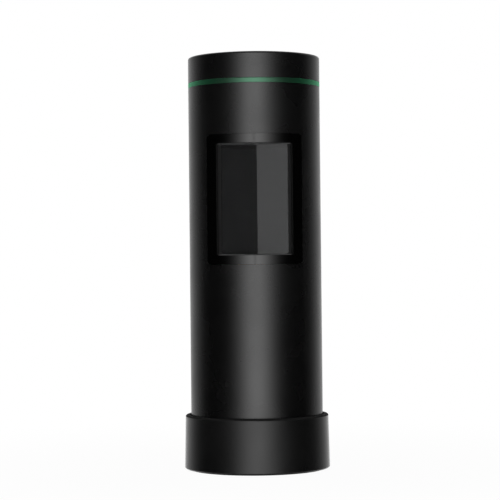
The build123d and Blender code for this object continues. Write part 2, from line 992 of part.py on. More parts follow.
with BuildPart() as battery_cell:
    with BuildSketch(level(battery_bottom)):
        with Locations((0, battery_depth)):
            Circle(battery_radius)
    extrude(amount=battery_length)
    fillet(battery_cell.edges(), radius=battery_edge)
    with BuildSketch(level(battery_bottom + battery_length)):
        with Locations((0, battery_depth)):
            Circle(terminal_radius)
    extrude(amount=terminal_height)
battery_cell.part.label = "battery_cell"
export_step(battery_cell.part, "parts/battery_cell.step")

contact_length = main_board_back + battery_depth + contact_reach
with BuildPart() as battery_contacts:
    for height, tab in ((floor_high, contact_tab), (shelf_low, -contact_tab)):
        thickness = math.copysign(contact_thickness, tab)
        slab(
            level(height),
            thickness,
            contact_width,
            contact_length,
            middle=(0, -main_board_back + contact_length / 2),
        )
        slab(
            level(height),
            tab,
            contact_width,
            contact_thickness,
            middle=(0, -main_board_back + contact_thickness / 2),
        )
battery_contacts.part.label = "battery_contacts"
export_step(battery_contacts.part, "parts/battery_contacts.step")

with BuildPart() as battery_pad:
    slab(
        front(partition_back),
        -battery_pad_thickness,
        battery_pad_width,
        battery_pad_length,
        middle=(0, battery_bottom + battery_length / 2),
    )
battery_pad.part.label = "battery_pad"
export_step(battery_pad.part, "parts/battery_pad.step")

with BuildPart() as main_board:
    rounded_slab(
        front(main_board_back),
        board_thickness,
        main_board_width,
        main_board_length,
        main_board_corner,
        middle=(0, main_board_level),
    )
    discs(
        front(main_board_back),
        board_thickness,
        screw_pass,
        board_hole_points,
        mode=Mode.SUBTRACT,
    )
main_board.part.label = "main_board"
export_step(main_board.part, "parts/main_board.step")

with BuildPart() as main_board_screws:
    screws(front(main_board_front), board_screw_length, board_hole_points)
main_board_screws.part.label = "main_board_screws"
export_step(main_board_screws.part, "parts/main_board_screws.step")

with BuildPart() as processor_chip:
    slab(
        front(main_board_front),
        processor_height,
        processor_size,
        processor_size,
        middle=(0, processor_level),
    )
processor_chip.part.label = "processor_chip"
export_step(processor_chip.part, "parts/processor_chip.step")

with BuildPart() as memory_chip:
    slab(
        front(main_board_front),
        memory_height,
        memory_width,
        memory_length,
        middle=(0, memory_level),
    )
memory_chip.part.label = "memory_chip"
export_step(memory_chip.part, "parts/memory_chip.step")

with BuildPart() as wireless_module:
    slab(front(main_board_front), radio_height, radio_width, radio_length, middle=(0, radio_level))
wireless_module.part.label = "wireless_module"
export_step(wireless_module.part, "parts/wireless_module.step")

with BuildPart() as display_connector:
    slab(
        front(main_board_front),
        connector_height,
        display_connector_width,
        connector_length,
        middle=(0, display_connector_level),
    )
display_connector.part.label = "display_connector"
export_step(display_connector.part, "parts/display_connector.step")

with BuildPart() as lead_connector:
    slab(
        front(main_board_front),
        connector_height,
        lead_connector_width,
        connector_length,
        middle=(0, connector_level),
    )
lead_connector.part.label = "lead_connector"
export_step(lead_connector.part, "parts/lead_connector.step")

with BuildPart() as button_connector:
    slab(
        front(main_board_front),
        connector_height,
        button_connector_width,
        connector_length,
        middle=(0, button_connector_level),
    )
button_connector.part.label = "button_connector"
export_step(button_connector.part, "parts/button_connector.step")

# Flat leads to the main board

sensor_board_middle = view((barrel_end + sensor_board_top) / 2)
sensor_edge = sensor_board_middle.from_local_coords(Vector(0, -sensor_board_radius, 0))
sensor_lead_depth = max(-sensor_edge.Y, connector_front) + sensor_lead_step
with BuildPart() as sensor_flex:
    flat_lead(
        [
            (sensor_edge.Y, sensor_edge.Z),
            (-sensor_lead_depth, sensor_edge.Z),
            (-sensor_lead_depth, connector_level),
            (-connector_front, connector_level),
        ],
        sensor_lead_width,
    )
sensor_flex.part.label = "sensor_flex"
export_step(sensor_flex.part, "parts/sensor_flex.step")

with BuildPart() as led_flex:
    flat_lead(
        [
            (-side_lead_depth, lamp_board_top),
            (-side_lead_depth, connector_level),
            (-connector_front, connector_level),
        ],
        side_lead_width,
        offset=side_lead_offset,
    )
led_flex.part.label = "led_flex"
export_step(led_flex.part, "parts/led_flex.step")

usb_board_middle = (usb_board_top + usb_board_bottom) / 2
with BuildPart() as usb_flex:
    flat_lead(
        [
            (usb_board_front, usb_board_middle),
            (-side_lead_depth, usb_board_middle),
            (-side_lead_depth, connector_level),
            (-connector_front, connector_level),
        ],
        side_lead_width,
        offset=-side_lead_offset,
    )
usb_flex.part.label = "usb_flex"
export_step(usb_flex.part, "parts/usb_flex.step")

with BuildPart() as button_flex:
    flat_lead(
        [
            (-button_lead_depth, button_board_bottom),
            (-button_lead_depth, button_connector_level),
            (-connector_front, button_connector_level),
        ],
        button_lead_width,
    )
button_flex.part.label = "button_flex"
export_step(button_flex.part, "parts/button_flex.step")

# Charging socket

with BuildPart() as usb_board:
    with BuildSketch(level(usb_board_top)):
        Circle(chassis_bore - usb_board_fit)
        with Locations((0, usb_board_front + chassis_radius / 2)):
            Rectangle(usb_board_width, chassis_radius, mode=Mode.INTERSECT)
        with Locations(*usb_boss_points):
            Circle(screw_pass, mode=Mode.SUBTRACT)
    extrude(amount=-board_thickness)
usb_board.part.label = "usb_board"
export_step(usb_board.part, "parts/usb_board.step")

with BuildPart() as usb_socket:
    rounded_slab(
        front(-usb_mouth),
        usb_depth,
        usb_width,
        usb_height,
        usb_corner,
        middle=(0, usb_level),
    )
    rounded_slab(
        front(-usb_mouth),
        usb_cavity_depth,
        usb_width - 2 * usb_wall,
        usb_height - 2 * usb_wall,
        usb_corner - usb_wall,
        middle=(0, usb_level),
        mode=Mode.SUBTRACT,
    )
    slab(
        front(-usb_mouth + usb_cavity_depth),
        -usb_tongue_length,
        usb_tongue_width,
        usb_tongue_height,
        middle=(0, usb_level),
    )
usb_socket.part.label = "usb_socket"
export_step(usb_socket.part, "parts/usb_socket.step")

with BuildPart() as usb_board_screws:
    screws(
        Plane(origin=(0, 0, usb_board_bottom), x_dir=(1, 0, 0), z_dir=(0, 0, -1)),
        usb_screw_length,
        [(x, -y) for x, y in usb_boss_points],
    )
usb_board_screws.part.label = "usb_board_screws"
export_step(usb_board_screws.part, "parts/usb_board_screws.step")

# Measure button

with BuildPart() as measure_button:
    ring(level(flange_top), head_top - button_recess - flange_top, button_radius)
    chamfer(measure_button.edges().group_by(Axis.Z)[-1], length=button_edge)
    dish_radius = (button_radius**2 + button_dish**2) / (2 * button_dish)
    with Locations((0, 0, head_top - button_recess - button_dish + dish_radius)):
        Sphere(dish_radius, mode=Mode.SUBTRACT)
    ring(level(flange_bottom), button_flange, button_flange_radius)
    ring(level(stem_bottom), button_stem, button_stem_radius)
measure_button.part.label = "measure_button"
export_step(measure_button.part, "parts/measure_button.step")

with BuildPart() as switch_plunger:
    ring(level(switch_top - plunger_engagement), plunger_engagement + plunger_proud, plunger_radius)
switch_plunger.part.label = "switch_plunger"
export_step(switch_plunger.part, "parts/switch_plunger.step")

plunger_room = plunger_engagement + button_travel + plunger_floor_gap
with BuildPart() as button_switch:
    slab(level(button_board_top), switch_height, switch_size, switch_size)
    ring(level(switch_top), -plunger_room, plunger_radius + plunger_fit, mode=Mode.SUBTRACT)
button_switch.part.label = "button_switch"
export_step(button_switch.part, "parts/button_switch.step")

with BuildPart() as button_board:
    ring(level(button_board_bottom), board_thickness, button_board_radius)
    discs(
        level(button_board_bottom),
        board_thickness,
        screw_pass,
        head_boss_points,
        mode=Mode.SUBTRACT,
    )
button_board.part.label = "button_board"
export_step(button_board.part, "parts/button_board.step")

with BuildPart() as button_board_screws:
    screws(
        Plane(origin=(0, 0, button_board_bottom), x_dir=(1, 0, 0), z_dir=(0, 0, -1)),
        head_screw_length,
        [(x, -y) for x, y in head_boss_points],
    )
button_board_screws.part.label = "button_board_screws"
export_step(button_board_screws.part, "parts/button_board_screws.step")
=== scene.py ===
"""Looks of a hand-held colour reader that stands in its calibration base."""

import math
from typing import NamedTuple

import bmesh
import bpy
from bpy.props import FloatProperty, FloatVectorProperty, IntProperty, PointerProperty
from mathutils import Matrix, Vector


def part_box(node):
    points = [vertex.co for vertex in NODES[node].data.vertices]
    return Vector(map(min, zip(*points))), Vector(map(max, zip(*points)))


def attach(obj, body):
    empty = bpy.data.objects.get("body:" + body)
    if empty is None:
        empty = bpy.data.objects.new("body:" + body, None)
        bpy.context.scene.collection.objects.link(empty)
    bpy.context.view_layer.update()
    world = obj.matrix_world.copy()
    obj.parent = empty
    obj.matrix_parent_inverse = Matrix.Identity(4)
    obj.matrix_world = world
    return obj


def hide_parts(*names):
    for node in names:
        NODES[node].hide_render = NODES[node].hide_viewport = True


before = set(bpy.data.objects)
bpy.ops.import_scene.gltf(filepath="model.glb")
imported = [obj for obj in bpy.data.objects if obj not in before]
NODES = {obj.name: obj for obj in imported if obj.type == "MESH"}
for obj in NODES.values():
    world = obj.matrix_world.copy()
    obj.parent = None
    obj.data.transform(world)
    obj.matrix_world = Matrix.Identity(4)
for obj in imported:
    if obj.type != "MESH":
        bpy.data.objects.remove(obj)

bl_info = {
    "name": "Colour reader looks",
    "version": (1, 0, 0),
    "blender": (4, 5, 0),
    "location": "View3D > Sidebar > Colour reader",
    "description": "Finishes the packed colour reader and lights it like a product picture",
    "category": "Object",
}

MM = 0.001
GLASS_LOW, GLASS_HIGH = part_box("display_glass")

# Edges sharper than CREASE stay sharp, and points nearer than MERGE become one.
CREASE = math.radians(25)
MERGE = 0.001 * MM
EDGE_STEPS = 6
CORNER_STEPS = 8
ROUND_STEPS = 96
TENT_SIDES = 128
# A pad whose sides differ by less than this is round.
ROUND_WITHIN = 0.1 * MM
# A face of the glass whose normal leans further than this along X is one of its sides.
SIDEWAYS = 0.3

# Patterns of the materials, whose sizes and depths are in mm.
# Most values of a noise lie between these two.
NOISE_LOW, NOISE_HIGH = 0.3, 0.7
# Slow changes of tone and gloss over a grained surface.
PATCH_SIZE, PATCH_TONE, PATCH_GLOSS = 9, 0.12, 0.04
# How much the spots of a two-part surface darken it.
SPOT_SHADE = 0.25
# Marks of brushed metal.
MARK_SIZE, MARK_DEPTH, MARK_SHADE, MARK_GLOSS = 0.25, 0.002, 0.82, 0.07
# Cells of foam, each a pit with painted shade darkening its middle, and how far from its middle a
# cell turns from that painted shade to its own colour.
CELL_SIZE, CELL_DEPTH, PIT_PAINTED_SHADE = 0.28, 0.05, 0.45
CELL_DARK, CELL_PALE = 0.1, 0.6
# Wipe marks on glass, and the values of the noise between which they haze it.
WIPE_SIZE, WIPE_SHADE, WIPE_HAZE = 4, 0.96, 0.03
WIPE_CLEAR, WIPE_DULL = 0.45, 0.8
# The field of tracks that repeats on a circuit board.
TRACK_FIELD = 6


def length(label, text, default):
    """A size that a user can change. Its default is given in mm."""
    return FloatProperty(
        name=label, description=text, default=default * MM, unit="LENGTH", precision=5
    )


def colour(label, text, default):
    """A colour that a user can change."""
    return FloatVectorProperty(
        name=label, description=text, default=default, size=3, subtype="COLOR", min=0.0, max=1.0
    )


def share(label, text, default):
    """A number from 0 to 1 that a user can change."""
    return FloatProperty(name=label, description=text, default=default, min=0.0, max=1.0)


def angle(label, text, degrees):
    """An angle that a user can change."""
    return FloatProperty(
        name=label, description=text, default=math.radians(degrees), subtype="ANGLE"
    )


def radiance(label, text, default):
    """How brightly a thing of the studio glows."""
    return FloatProperty(name=label, description=text, default=default, min=0.0)


class ReaderFinish(bpy.types.PropertyGroup):
    """Colours and gloss of the surfaces."""

    coat_colour: colour("Coat", "Black coat of the tube and the head", (0.0042, 0.0042, 0.0043))
    coat_roughness: share("Coat roughness", "How matt the coat is", 0.27)
    base_colour: colour("Base", "Moulded black of the base", (0.0045, 0.0045, 0.0046))
    base_roughness: share("Base roughness", "How matt the base is", 0.42)
    base_gloss: share("Base gloss", "Strength of the base's broad gloss", 0.3)
    skin_roughness: share("Skin roughness", "How matt the base's clear skin is", 0.15)
    lip_roughness: share("Lip roughness", "How matt the base's rounded lip is", 0.85)
    band_colour: colour("Band", "Green metal of the band, seen head on", (0.058, 0.132, 0.086))
    band_edge_colour: colour("Band flank", "Its green at a low angle", (0.85, 1.0, 0.92))
    band_roughness: share("Band roughness", "How matt the band is", 0.38)
    band_bloom: colour("Band bloom", "Its soft green bloom", (0.1, 1.0, 0.42))
    bloom_weight: share("Bloom weight", "How strong the bloom is", 0.6)
    bloom_roughness: share("Bloom roughness", "How far the bloom spreads", 0.5)
    frame_colour: colour("Window frame", "Gloss black round the display", (0.0004, 0.0004, 0.0004))
    frame_roughness: share("Window frame roughness", "How matt the window frame is", 0.14)
    recess_roughness: share("Recess roughness", "How matt the frame is beside the glass", 0.9)
    glass_tint: colour("Glass", "Smoky tint of the cover glass", (0.55, 0.56, 0.57))
    ink_colour: colour("Ink", "Black ink on the sides of the glass", (0.019, 0.019, 0.019))
    ink_roughness: share("Ink roughness", "How matt the ink is", 0.3)
    screen_colour: colour("Screen", "Dark display that is switched off", (0.004, 0.004, 0.004))
    screen_gloss: share("Screen gloss", "How much the screen mirrors", 0.165)
    border_colour: colour("Screen border", "Black print round the screen", (0.004, 0.004, 0.004))
    tape_colour: colour("Tape", "Black tape behind the glass", (0.004, 0.004, 0.004))
    tape_gloss: share("Tape gloss", "How much the tape mirrors", 0.25)
    guide_colour: colour("Light guide", "Milky plate behind the screen", (0.8, 0.8, 0.78))
    line_colour: colour("Guide lines", "Pale lines across the plate", (0.9, 0.9, 0.88))
    button_colour: colour("Button", "Black of the measure button", (0.006, 0.006, 0.0062))
    button_roughness: share("Button roughness", "How matt the button is", 0.42)
    switch_colour: colour("Switch", "Case of the switch", (0.015, 0.015, 0.015))
    ivory_colour: colour("Ivory", "Plastic of plunger and connectors", (0.7, 0.66, 0.55))
    tongue_colour: colour("Tongue", "Plastic of the socket's tongue", (0.012, 0.012, 0.012))
    tile_colour: colour("Tile", "White glaze of the calibration tile", (0.86, 0.86, 0.84))
    tile_roughness: share("Tile roughness", "How matt the glaze is", 0.22)
    tile_coat: share("Tile coat", "Strength of the clear coat on the glaze", 0.3)
    foot_colour: colour("Foot", "Rubber of the foot ring", (0.01, 0.01, 0.01))
    foam_colour: colour("Foam", "Foam of the seat and the pads", (0.03, 0.03, 0.031))
    nose_colour: colour("Nose", "Black of the ring round the port", (0.012, 0.012, 0.0122))
    port_tint: colour("Port window", "Tint of the port's glass", (0.93, 0.95, 0.95))
    sphere_colour: colour("Sphere", "Matt white inside the reader", (0.88, 0.88, 0.87))
    barrel_colour: colour("Barrel", "Matt black of the lens barrel", (0.012, 0.012, 0.012))
    lens_tint: colour("Lens", "Tint of the detector's lens", (0.95, 0.96, 0.97))
    lamp_colour: colour("Lamps", "Pale case of the lamps", (0.85, 0.85, 0.83))
    phosphor_colour: colour("Phosphor", "Yellow face of the lamps", (0.85, 0.72, 0.2))
    steel_colour: colour("Steel", "Plated steel", (0.6, 0.6, 0.59))
    gold_colour: colour("Gold", "Plated contacts", (0.85, 0.6, 0.25))
    board_colour: colour("Boards", "Green mask of the circuit boards", (0.01, 0.12, 0.05))
    track_colour: colour("Tracks", "Mask where copper lies under it", (0.02, 0.2, 0.08))
    chip_colour: colour("Chips", "Black of the chips", (0.02, 0.02, 0.021))
    lead_colour: colour("Flat leads", "Amber film of the flat leads", (0.45, 0.17, 0.02))
    wire_colour: colour("Lead wires", "Film where copper lies under it", (0.6, 0.26, 0.05))
    spine_colour: colour("Spine", "Grey of the moulded spine", (0.08, 0.08, 0.085))
    cell_colour: colour("Cell", "Blue wrap of the battery cell", (0.03, 0.12, 0.3))


class ReaderEdges(bpy.types.PropertyGroup):
    """Small sizes that only the eye needs."""

    band_edge: length("Band edge", "Rounding of the green band's edges", 0.12)
    band_width: length("Band width", "Radial width of the green band", 1.5)
    foot_edge: length("Foot edge", "Rounding of the rubber foot's edges", 0.25)
    foot_width: length("Foot width", "Radial width of the rubber foot", 3.0)
    seat_edge: length("Seat edge", "Rounding of the foam seat's edges", 0.28)
    seat_width: length("Seat width", "Radial width of the foam seat", 3.2)
    pad_edge: length("Pad edge", "Rounding of the foam pads' edges", 0.2)
    glass_slope: length("Glass slope", "Width of the sloping sides of the glass", 0.75)
    glass_end_slope: length("Glass end slope", "Width of its sloping ends", 0.15)
    glass_drop: length("Glass drop", "Depth of the sloping edge of the glass", 0.5)
    glass_corner: length("Glass corner", "Corner radius of the glass", 0.5)
    glass_gap: length("Glass gap", "Air between the glass and the tape", 0.04)
    glass_side: length("Glass side", "Air between the glass and the frame's sides", 0.1)
    recess_side: length("Recess side", "How far the frame is matt beside the glass", 0.3)
    border_side: length("Border side", "Width of the screen's border at its sides", 1.6)
    border_end: length("Border end", "Width of the screen's border at its ends", 2.6)
    screen_pitch: length("Screen pitch", "Step from cell to cell of the screen", 0.24)
    guide_pitch: length("Guide pitch", "Step from line to line of the light guide", 0.6)
    switch_lid: length("Switch lid", "Height of the switch's steel lid", 0.3)
    lip_height: length("Lip height", "Height of the base's matt lip", 0.5)
    lip_fade: length("Lip fade", "Height over which the lip turns matt", 0.2)
    phosphor_height: length("Phosphor height", "Height of the lamps' yellow face", 0.25)
    cell_cap: length("Cell cap", "Height of the cell's bare ends", 0.4)
    pin_pitch: length("Pin pitch", "Step from pin to pin of a connector", 0.5)
    wire_pitch: length("Wire pitch", "Step from wire to wire of a flat lead", 0.4)
    tongue_width: length("Tongue width", "Of the charging socket's tongue", 6.7)
    tongue_height: length("Tongue height", "Of the charging socket's tongue", 0.7)
    tongue_depth: length("Tongue depth", "From the socket's mouth to the tongue", 1.5)
    tongue_margin: length("Tongue margin", "How far its black reaches past it", 0.05)
    contact_setback: length("Contact setback", "From the tongue's tip to its contacts", 0.25)
    contact_pitch: length("Contact pitch", "Step from contact to contact", 0.5)
    contact_width: length("Contact width", "Width of a contact", 0.28)
    contact_length: length("Contact length", "Length of a contact", 2.8)
    contact_height: length("Contact height", "How far a contact stands up", 0.04)
    contact_count: IntProperty(
        name="Contacts", description="Contacts on each side of the tongue", default=12, min=1
    )
    turn_steps: IntProperty(
        name="Turn steps", description="Facets round a turned piece", default=192, min=24
    )


class ReaderStudio(bpy.types.PropertyGroup):
    """Where the camera stands, and what lights the reader."""

    camera_distance: length("Distance", "From the tube's axis to the camera", 466.52)
    camera_height: length("Height", "Of the camera over the table", 50.75)
    camera_azimuth: angle("Azimuth", "How far the camera stands to the right", 0.31)
    camera_yaw: angle("Yaw", "How far the camera looks past the axis", 0.1675)
    camera_pitch: angle("Pitch", "How far the camera looks up", 0.498)
    camera_roll: angle("Roll", "How far the camera leans", -0.575)
    lens: FloatProperty(
        name="Lens", description="Focal length on a 36 mm sensor", default=133.66, unit="CAMERA"
    )
    tent_radius: length("Tent radius", "Of the light tent round the table", 800)
    key_level: radiance("Key", "Radiance of the front light", 3.28)
    key_spread: angle("Key spread", "How fast the front light fades sideways", 18)
    key_top: length("Key top", "Height at which the front light ends", 330)
    key_fade: length("Key fade", "Half the height over which it ends", 70)
    side_level: radiance("Sides", "Radiance of the sides", 0.01)
    rear_level: radiance("Rear", "Radiance of the rear", 0.55)
    rear_from: angle("Rear from", "Where the tent's pale rear starts", 92)
    rear_full: angle("Rear full", "Where the tent's rear is at its full level", 145)
    back_level: radiance("Back light", "Added right behind", 0.5)
    back_spread: angle("Back spread", "How fast the back light fades sideways", 18)
    roof_level: radiance("Roof", "Radiance of the roof", 0.45)
    ground_level: radiance("Ground", "Radiance under the table", 0.3)
    table_radius: length("Table radius", "Of the pale table top", 160)
    table_tone: share("Table tone", "How pale the table top is", 0.9)
    table_glow: share("Table glow", "Its own glow's share of its look by the reader", 0.965)
    shade_radius: length("Shade radius", "Where the table's faint shade starts to fade", 20)
    card_distance: length("Card distance", "From the axis to the two-tone card", 720)
    card_margin: length("Card margin", "How far it reaches past what the glass mirrors", 1)
    card_split: length("Card split", "Where the glass mirrors the card's edge", 0.65)
    card_level: radiance("Card", "Radiance of its pale half", 0.93)
    card_shade: radiance("Card shade", "Radiance of its dark half", 0.12)


class Surface(NamedTuple):
    """The look of one part of a surface."""

    colour: tuple
    roughness: float
    metallic: float = 0.0


def feed(tree, socket, value):
    """Links a node's output to a socket, or sets the socket to a plain number or colour."""
    if isinstance(value, bpy.types.NodeSocket):
        tree.links.new(value, socket)
    elif socket.type == "RGBA":
        socket.default_value = (*value, 1)
    else:
        socket.default_value = value


def add_node(tree, kind, inputs=(), **settings):
    """Adds a node, feeds its inputs, which go by name or number, and returns its outputs."""
    node = tree.nodes.new(kind)
    for attribute, value in settings.items():
        setattr(node, attribute, value)
    for label, value in dict(inputs).items():
        feed(tree, node.inputs[label], value)
    return node.outputs


def empty_material(name):
    """A node material with nothing but its output."""
    material = bpy.data.materials.new(name)
    material.use_nodes = True
    tree = material.node_tree
    tree.nodes.clear()
    surface = tree.nodes.new("ShaderNodeOutputMaterial").inputs["Surface"]
    return material, tree, surface


def new_material(name):
    """A node material with a principled shader."""
    material, tree, surface = empty_material(name)
    tree.links.new(add_node(tree, "ShaderNodeBsdfPrincipled")[0], surface)
    return material, tree


def set_shader(tree, values):
    """Feeds named inputs of a tree's principled shader."""
    inputs = tree.nodes["Principled BSDF"].inputs
    for label, value in values.items():
        feed(tree, inputs[label], value)


def place_coordinates(tree):
    """The object's own coordinates, in metres."""
    return add_node(tree, "ShaderNodeTexCoord")["Object"]


def axes(tree):
    """The x, y and z of a place on the object, in metres."""
    return add_node(tree, "ShaderNodeSeparateXYZ", {0: place_coordinates(tree)})


def noise(tree, size, detail=2.0, stretch=(1, 1, 1)):
    """Grain whose spots are about as large as size, in mm."""
    mapped = add_node(
        tree, "ShaderNodeMapping", {"Vector": place_coordinates(tree), "Scale": stretch}
    )
    scale = 1 / (size * MM)
    texture = add_node(
        tree, "ShaderNodeTexNoise", {"Vector": mapped[0], "Scale": scale, "Detail": detail}
    )
    return texture["Fac"]


def map_range(tree, value, low, high, to_low, to_high, smooth=False):
    """Turns a value from one range to another."""
    numbered = dict(enumerate((value, low, high, to_low, to_high)))
    kind = "SMOOTHSTEP" if smooth else "LINEAR"
    return add_node(tree, "ShaderNodeMapRange", numbered, interpolation_type=kind)[0]


def varied(tree, pattern, middle, spread):
    """A number that varies with a noise by the spread about its middle."""
    return map_range(tree, pattern, NOISE_LOW, NOISE_HIGH, middle - spread, middle + spread)


def mix_colours(tree, factor, first, second, blend_type="MIX"):
    """The first colour where the factor is 0, the second where it is 1."""
    ends = {"Factor": factor, "A": first, "B": second}
    mixed = add_node(tree, "ShaderNodeMix", ends, data_type="RGBA", blend_type=blend_type)
    return mixed["Result"]


def math_node(tree, operation, *values):
    """One step of arithmetic on numbers or node outputs."""
    return add_node(tree, "ShaderNodeMath", dict(enumerate(values)), operation=operation)[0]


def chain(tree, operation, first, *others):
    """The same step of arithmetic over several values, from the first to the last."""
    for other in others:
        first = math_node(tree, operation, first, other)
    return first


def weighted_sum(tree, *pairs):
    """Adds up values that are each multiplied by a weight."""
    return chain(tree, "ADD", *(math_node(tree, "MULTIPLY", *pair) for pair in pairs))


def bump(tree, height, depth):
    """The normal of a surface that is raised and sunk by depth, in mm."""
    return add_node(tree, "ShaderNodeBump", {"Height": height, "Distance": depth * MM})["Normal"]


def darkened(base, factor):
    """A colour with each channel times a factor."""
    return [channel * factor for channel in base]


def grained(name, base, roughness, *, grain, depth, tone=PATCH_TONE):
    """A surface of one colour with a fine grain, and slow changes of tone and gloss."""
    material, tree = new_material(name)
    slow = noise(tree, PATCH_SIZE, detail=3.0)
    lighter = [min(1.0, channel * (1 + tone)) for channel in base]
    looks = {
        "Base Color": mix_colours(tree, slow, darkened(base, 1 - tone), lighter),
        "Roughness": varied(tree, slow, roughness, PATCH_GLOSS),
        "Normal": bump(tree, noise(tree, grain), depth),
    }
    set_shader(tree, looks)
    return material


def two_part(name, mask, first, second, *, grain, depth):
    """A material of two surfaces, the second where the mask is 1."""
    material, tree = new_material(name)
    factor = mask(tree)
    spots = noise(tree, grain, detail=3.0)

    def either(one, other):
        return one if one == other else map_range(tree, factor, 0, 1, one, other)

    mixed = mix_colours(tree, factor, first.colour, second.colour)
    looks = {
        "Base Color": mix_colours(tree, SPOT_SHADE, mixed, spots, blend_type="MULTIPLY"),
        "Roughness": either(first.roughness, second.roughness),
        "Metallic": either(first.metallic, second.metallic),
        "Normal": bump(tree, spots, depth),
    }
    set_shader(tree, looks)
    return material


def box_mask(low, high):
    """A mask that is 1 between two corners."""

    def mask(tree):
        inside = [
            math_node(tree, "COMPARE", place, (start + end) / 2, (end - start) / 2)
            for place, start, end in zip(axes(tree), low, high)
        ]
        return chain(tree, "MULTIPLY", *inside)

    return mask


def stripe_mask(axis, pitch, share_of_pitch):
    """A mask of stripes across an axis."""

    def mask(tree):
        wave = math_node(tree, "PINGPONG", axes(tree)[axis], pitch / 2)
        return math_node(tree, "LESS_THAN", wave, share_of_pitch * pitch / 2)

    return mask


def track_mask(turn):
    """A mask like the tracks of a circuit board, which is turned to lie in its plane."""

    def mask(tree):
        turned = add_node(
            tree, "ShaderNodeMapping", {"Vector": place_coordinates(tree), "Rotation": turn}
        )
        pattern = {
            "Vector": turned[0],
            "Scale": 1 / (TRACK_FIELD * MM),
            "Mortar Size": 0.03,
            "Brick Width": 0.7,
            "Row Height": 0.2,
        }
        return add_node(tree, "ShaderNodeTexBrick", pattern)["Fac"]

    return mask


def brushed(name, base, roughness, stretch):
    """Metal with fine parallel marks along one axis."""
    material, tree = new_material(name)
    marks = noise(tree, MARK_SIZE, detail=4.0, stretch=stretch)
    looks = {
        "Base Color": mix_colours(tree, marks, darkened(base, MARK_SHADE), base),
        "Roughness": varied(tree, marks, roughness, MARK_GLOSS),
        "Metallic": 1.0,
        "Normal": bump(tree, marks, MARK_DEPTH),
    }
    set_shader(tree, looks)
    return material


def foam(name, base):
    """Closed-cell foam: small round pits, each with painted shade darkening its middle."""
    material, tree = new_material(name)
    pattern = {"Vector": place_coordinates(tree), "Scale": 1 / (CELL_SIZE * MM)}
    distance = add_node(tree, "ShaderNodeTexVoronoi", pattern)["Distance"]
    walls = map_range(tree, distance, CELL_DARK, CELL_PALE, 0, 1)
    looks = {
        # Painted shade: each cell's colour darkens towards the middle of its pit.
        "Base Color": mix_colours(tree, walls, darkened(base, PIT_PAINTED_SHADE), base),
        "Roughness": varied(tree, noise(tree, 3), 0.91, 0.06),
        "Normal": bump(tree, distance, CELL_DEPTH),
    }
    set_shader(tree, looks)
    return material


def glass_material(name, tint):
    """Clear glass with a faint tint and almost unseen wipe marks."""
    material, tree = new_material(name)
    wiped = noise(tree, WIPE_SIZE, detail=4.0, stretch=(1, 1, 0.25))
    looks = {
        "Base Color": mix_colours(tree, wiped, tint, darkened(tint, WIPE_SHADE)),
        "Roughness": map_range(tree, wiped, WIPE_CLEAR, WIPE_DULL, 0, WIPE_HAZE),
        "Transmission Weight": 1.0,
        "IOR": 1.5,
    }
    set_shader(tree, looks)
    return material


def screen_material(finish, edges):
    """A display that is switched off: fine cells inside a black printed border."""
    material, tree = new_material("screen_off")
    low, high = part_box("display_panel")
    border = Vector((edges.border_side, -MM, edges.border_end))
    inside = box_mask(low + border, high - border)(tree)
    gaps = stripe_mask(0, edges.screen_pitch, 0.2)(tree)
    lit = math_node(tree, "MULTIPLY", map_range(tree, gaps, 0, 1, 1.0, 0.9), inside)
    looks = {
        "Base Color": mix_colours(tree, lit, finish.border_colour, finish.screen_colour),
        "Roughness": varied(tree, noise(tree, 6), 0.43, 0.03),
        "Specular IOR Level": finish.screen_gloss,
        "Normal": bump(tree, noise(tree, 0.2), 0.002),
    }
    set_shader(tree, looks)
    return material


def moulded_material(finish, edges):
    """Moulded black with a thin clear skin, and a matt lip at the top of the base."""
    material = grained(
        "moulded_black", finish.base_colour, finish.base_roughness, grain=0.16, depth=0.0015
    )
    tree = material.node_tree
    slow = tree.nodes["Principled BSDF"].inputs["Roughness"].links[0].from_socket
    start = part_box("base_shell")[1].z - edges.lip_height
    lip = map_range(tree, axes(tree)["Z"], start, start + edges.lip_fade, 0, 1, smooth=True)
    rise = math_node(tree, "MULTIPLY", lip, finish.lip_roughness - finish.base_roughness)
    looks = {
        "Roughness": math_node(tree, "ADD", slow, rise),
        "Specular IOR Level": finish.base_gloss,
        "Coat Weight": map_range(tree, lip, 0, 1, 1, 0),
        "Coat IOR": 1.2,
        "Coat Roughness": finish.skin_roughness,
    }
    set_shader(tree, looks)
    return material


def assign(material, *names):
    """Gives a material to CAD nodes."""
    for name in names:
        for slot in NODES[name].material_slots:
            slot.material = material


def mesh_from(name, build):
    """A mesh that a bmesh function fills."""
    solid = bmesh.new()
    build(solid)
    mesh = bpy.data.meshes.new(name)
    solid.to_mesh(mesh)
    solid.free()
    return mesh


def link_object(name, mesh):
    """A new object at the origin that holds a mesh."""
    piece = bpy.data.objects.new(name, mesh)
    bpy.context.scene.collection.objects.link(piece)
    return piece


def plain_mesh(piece):
    """Turns a piece's modifiers into plain geometry."""
    graph = bpy.context.evaluated_depsgraph_get()
    mesh = bpy.data.meshes.new_from_object(piece.evaluated_get(graph), depsgraph=graph)
    piece.modifiers.clear()
    piece.data = mesh


def tidy_faces(piece):
    """Merges doubles, turns the faces outwards and shades them smooth between creases."""
    solid = bmesh.new()
    solid.from_mesh(piece.data)
    bmesh.ops.remove_doubles(solid, verts=solid.verts, dist=MERGE)
    bmesh.ops.recalc_face_normals(solid, faces=solid.faces)
    solid.to_mesh(piece.data)
    solid.free()
    piece.data.shade_smooth()
    piece.data.set_sharp_from_angle(angle=CREASE)
    weighted = piece.modifiers.new("Weighted normals", "WEIGHTED_NORMAL")
    weighted.keep_sharp = True
    plain_mesh(piece)


def finish_piece(piece, body, replaced=()):
    """Hangs a new piece on the empty of the body it rides on, and hides the CAD nodes it stands
    for.
    """
    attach(piece, body)
    if replaced:
        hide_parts(*replaced)


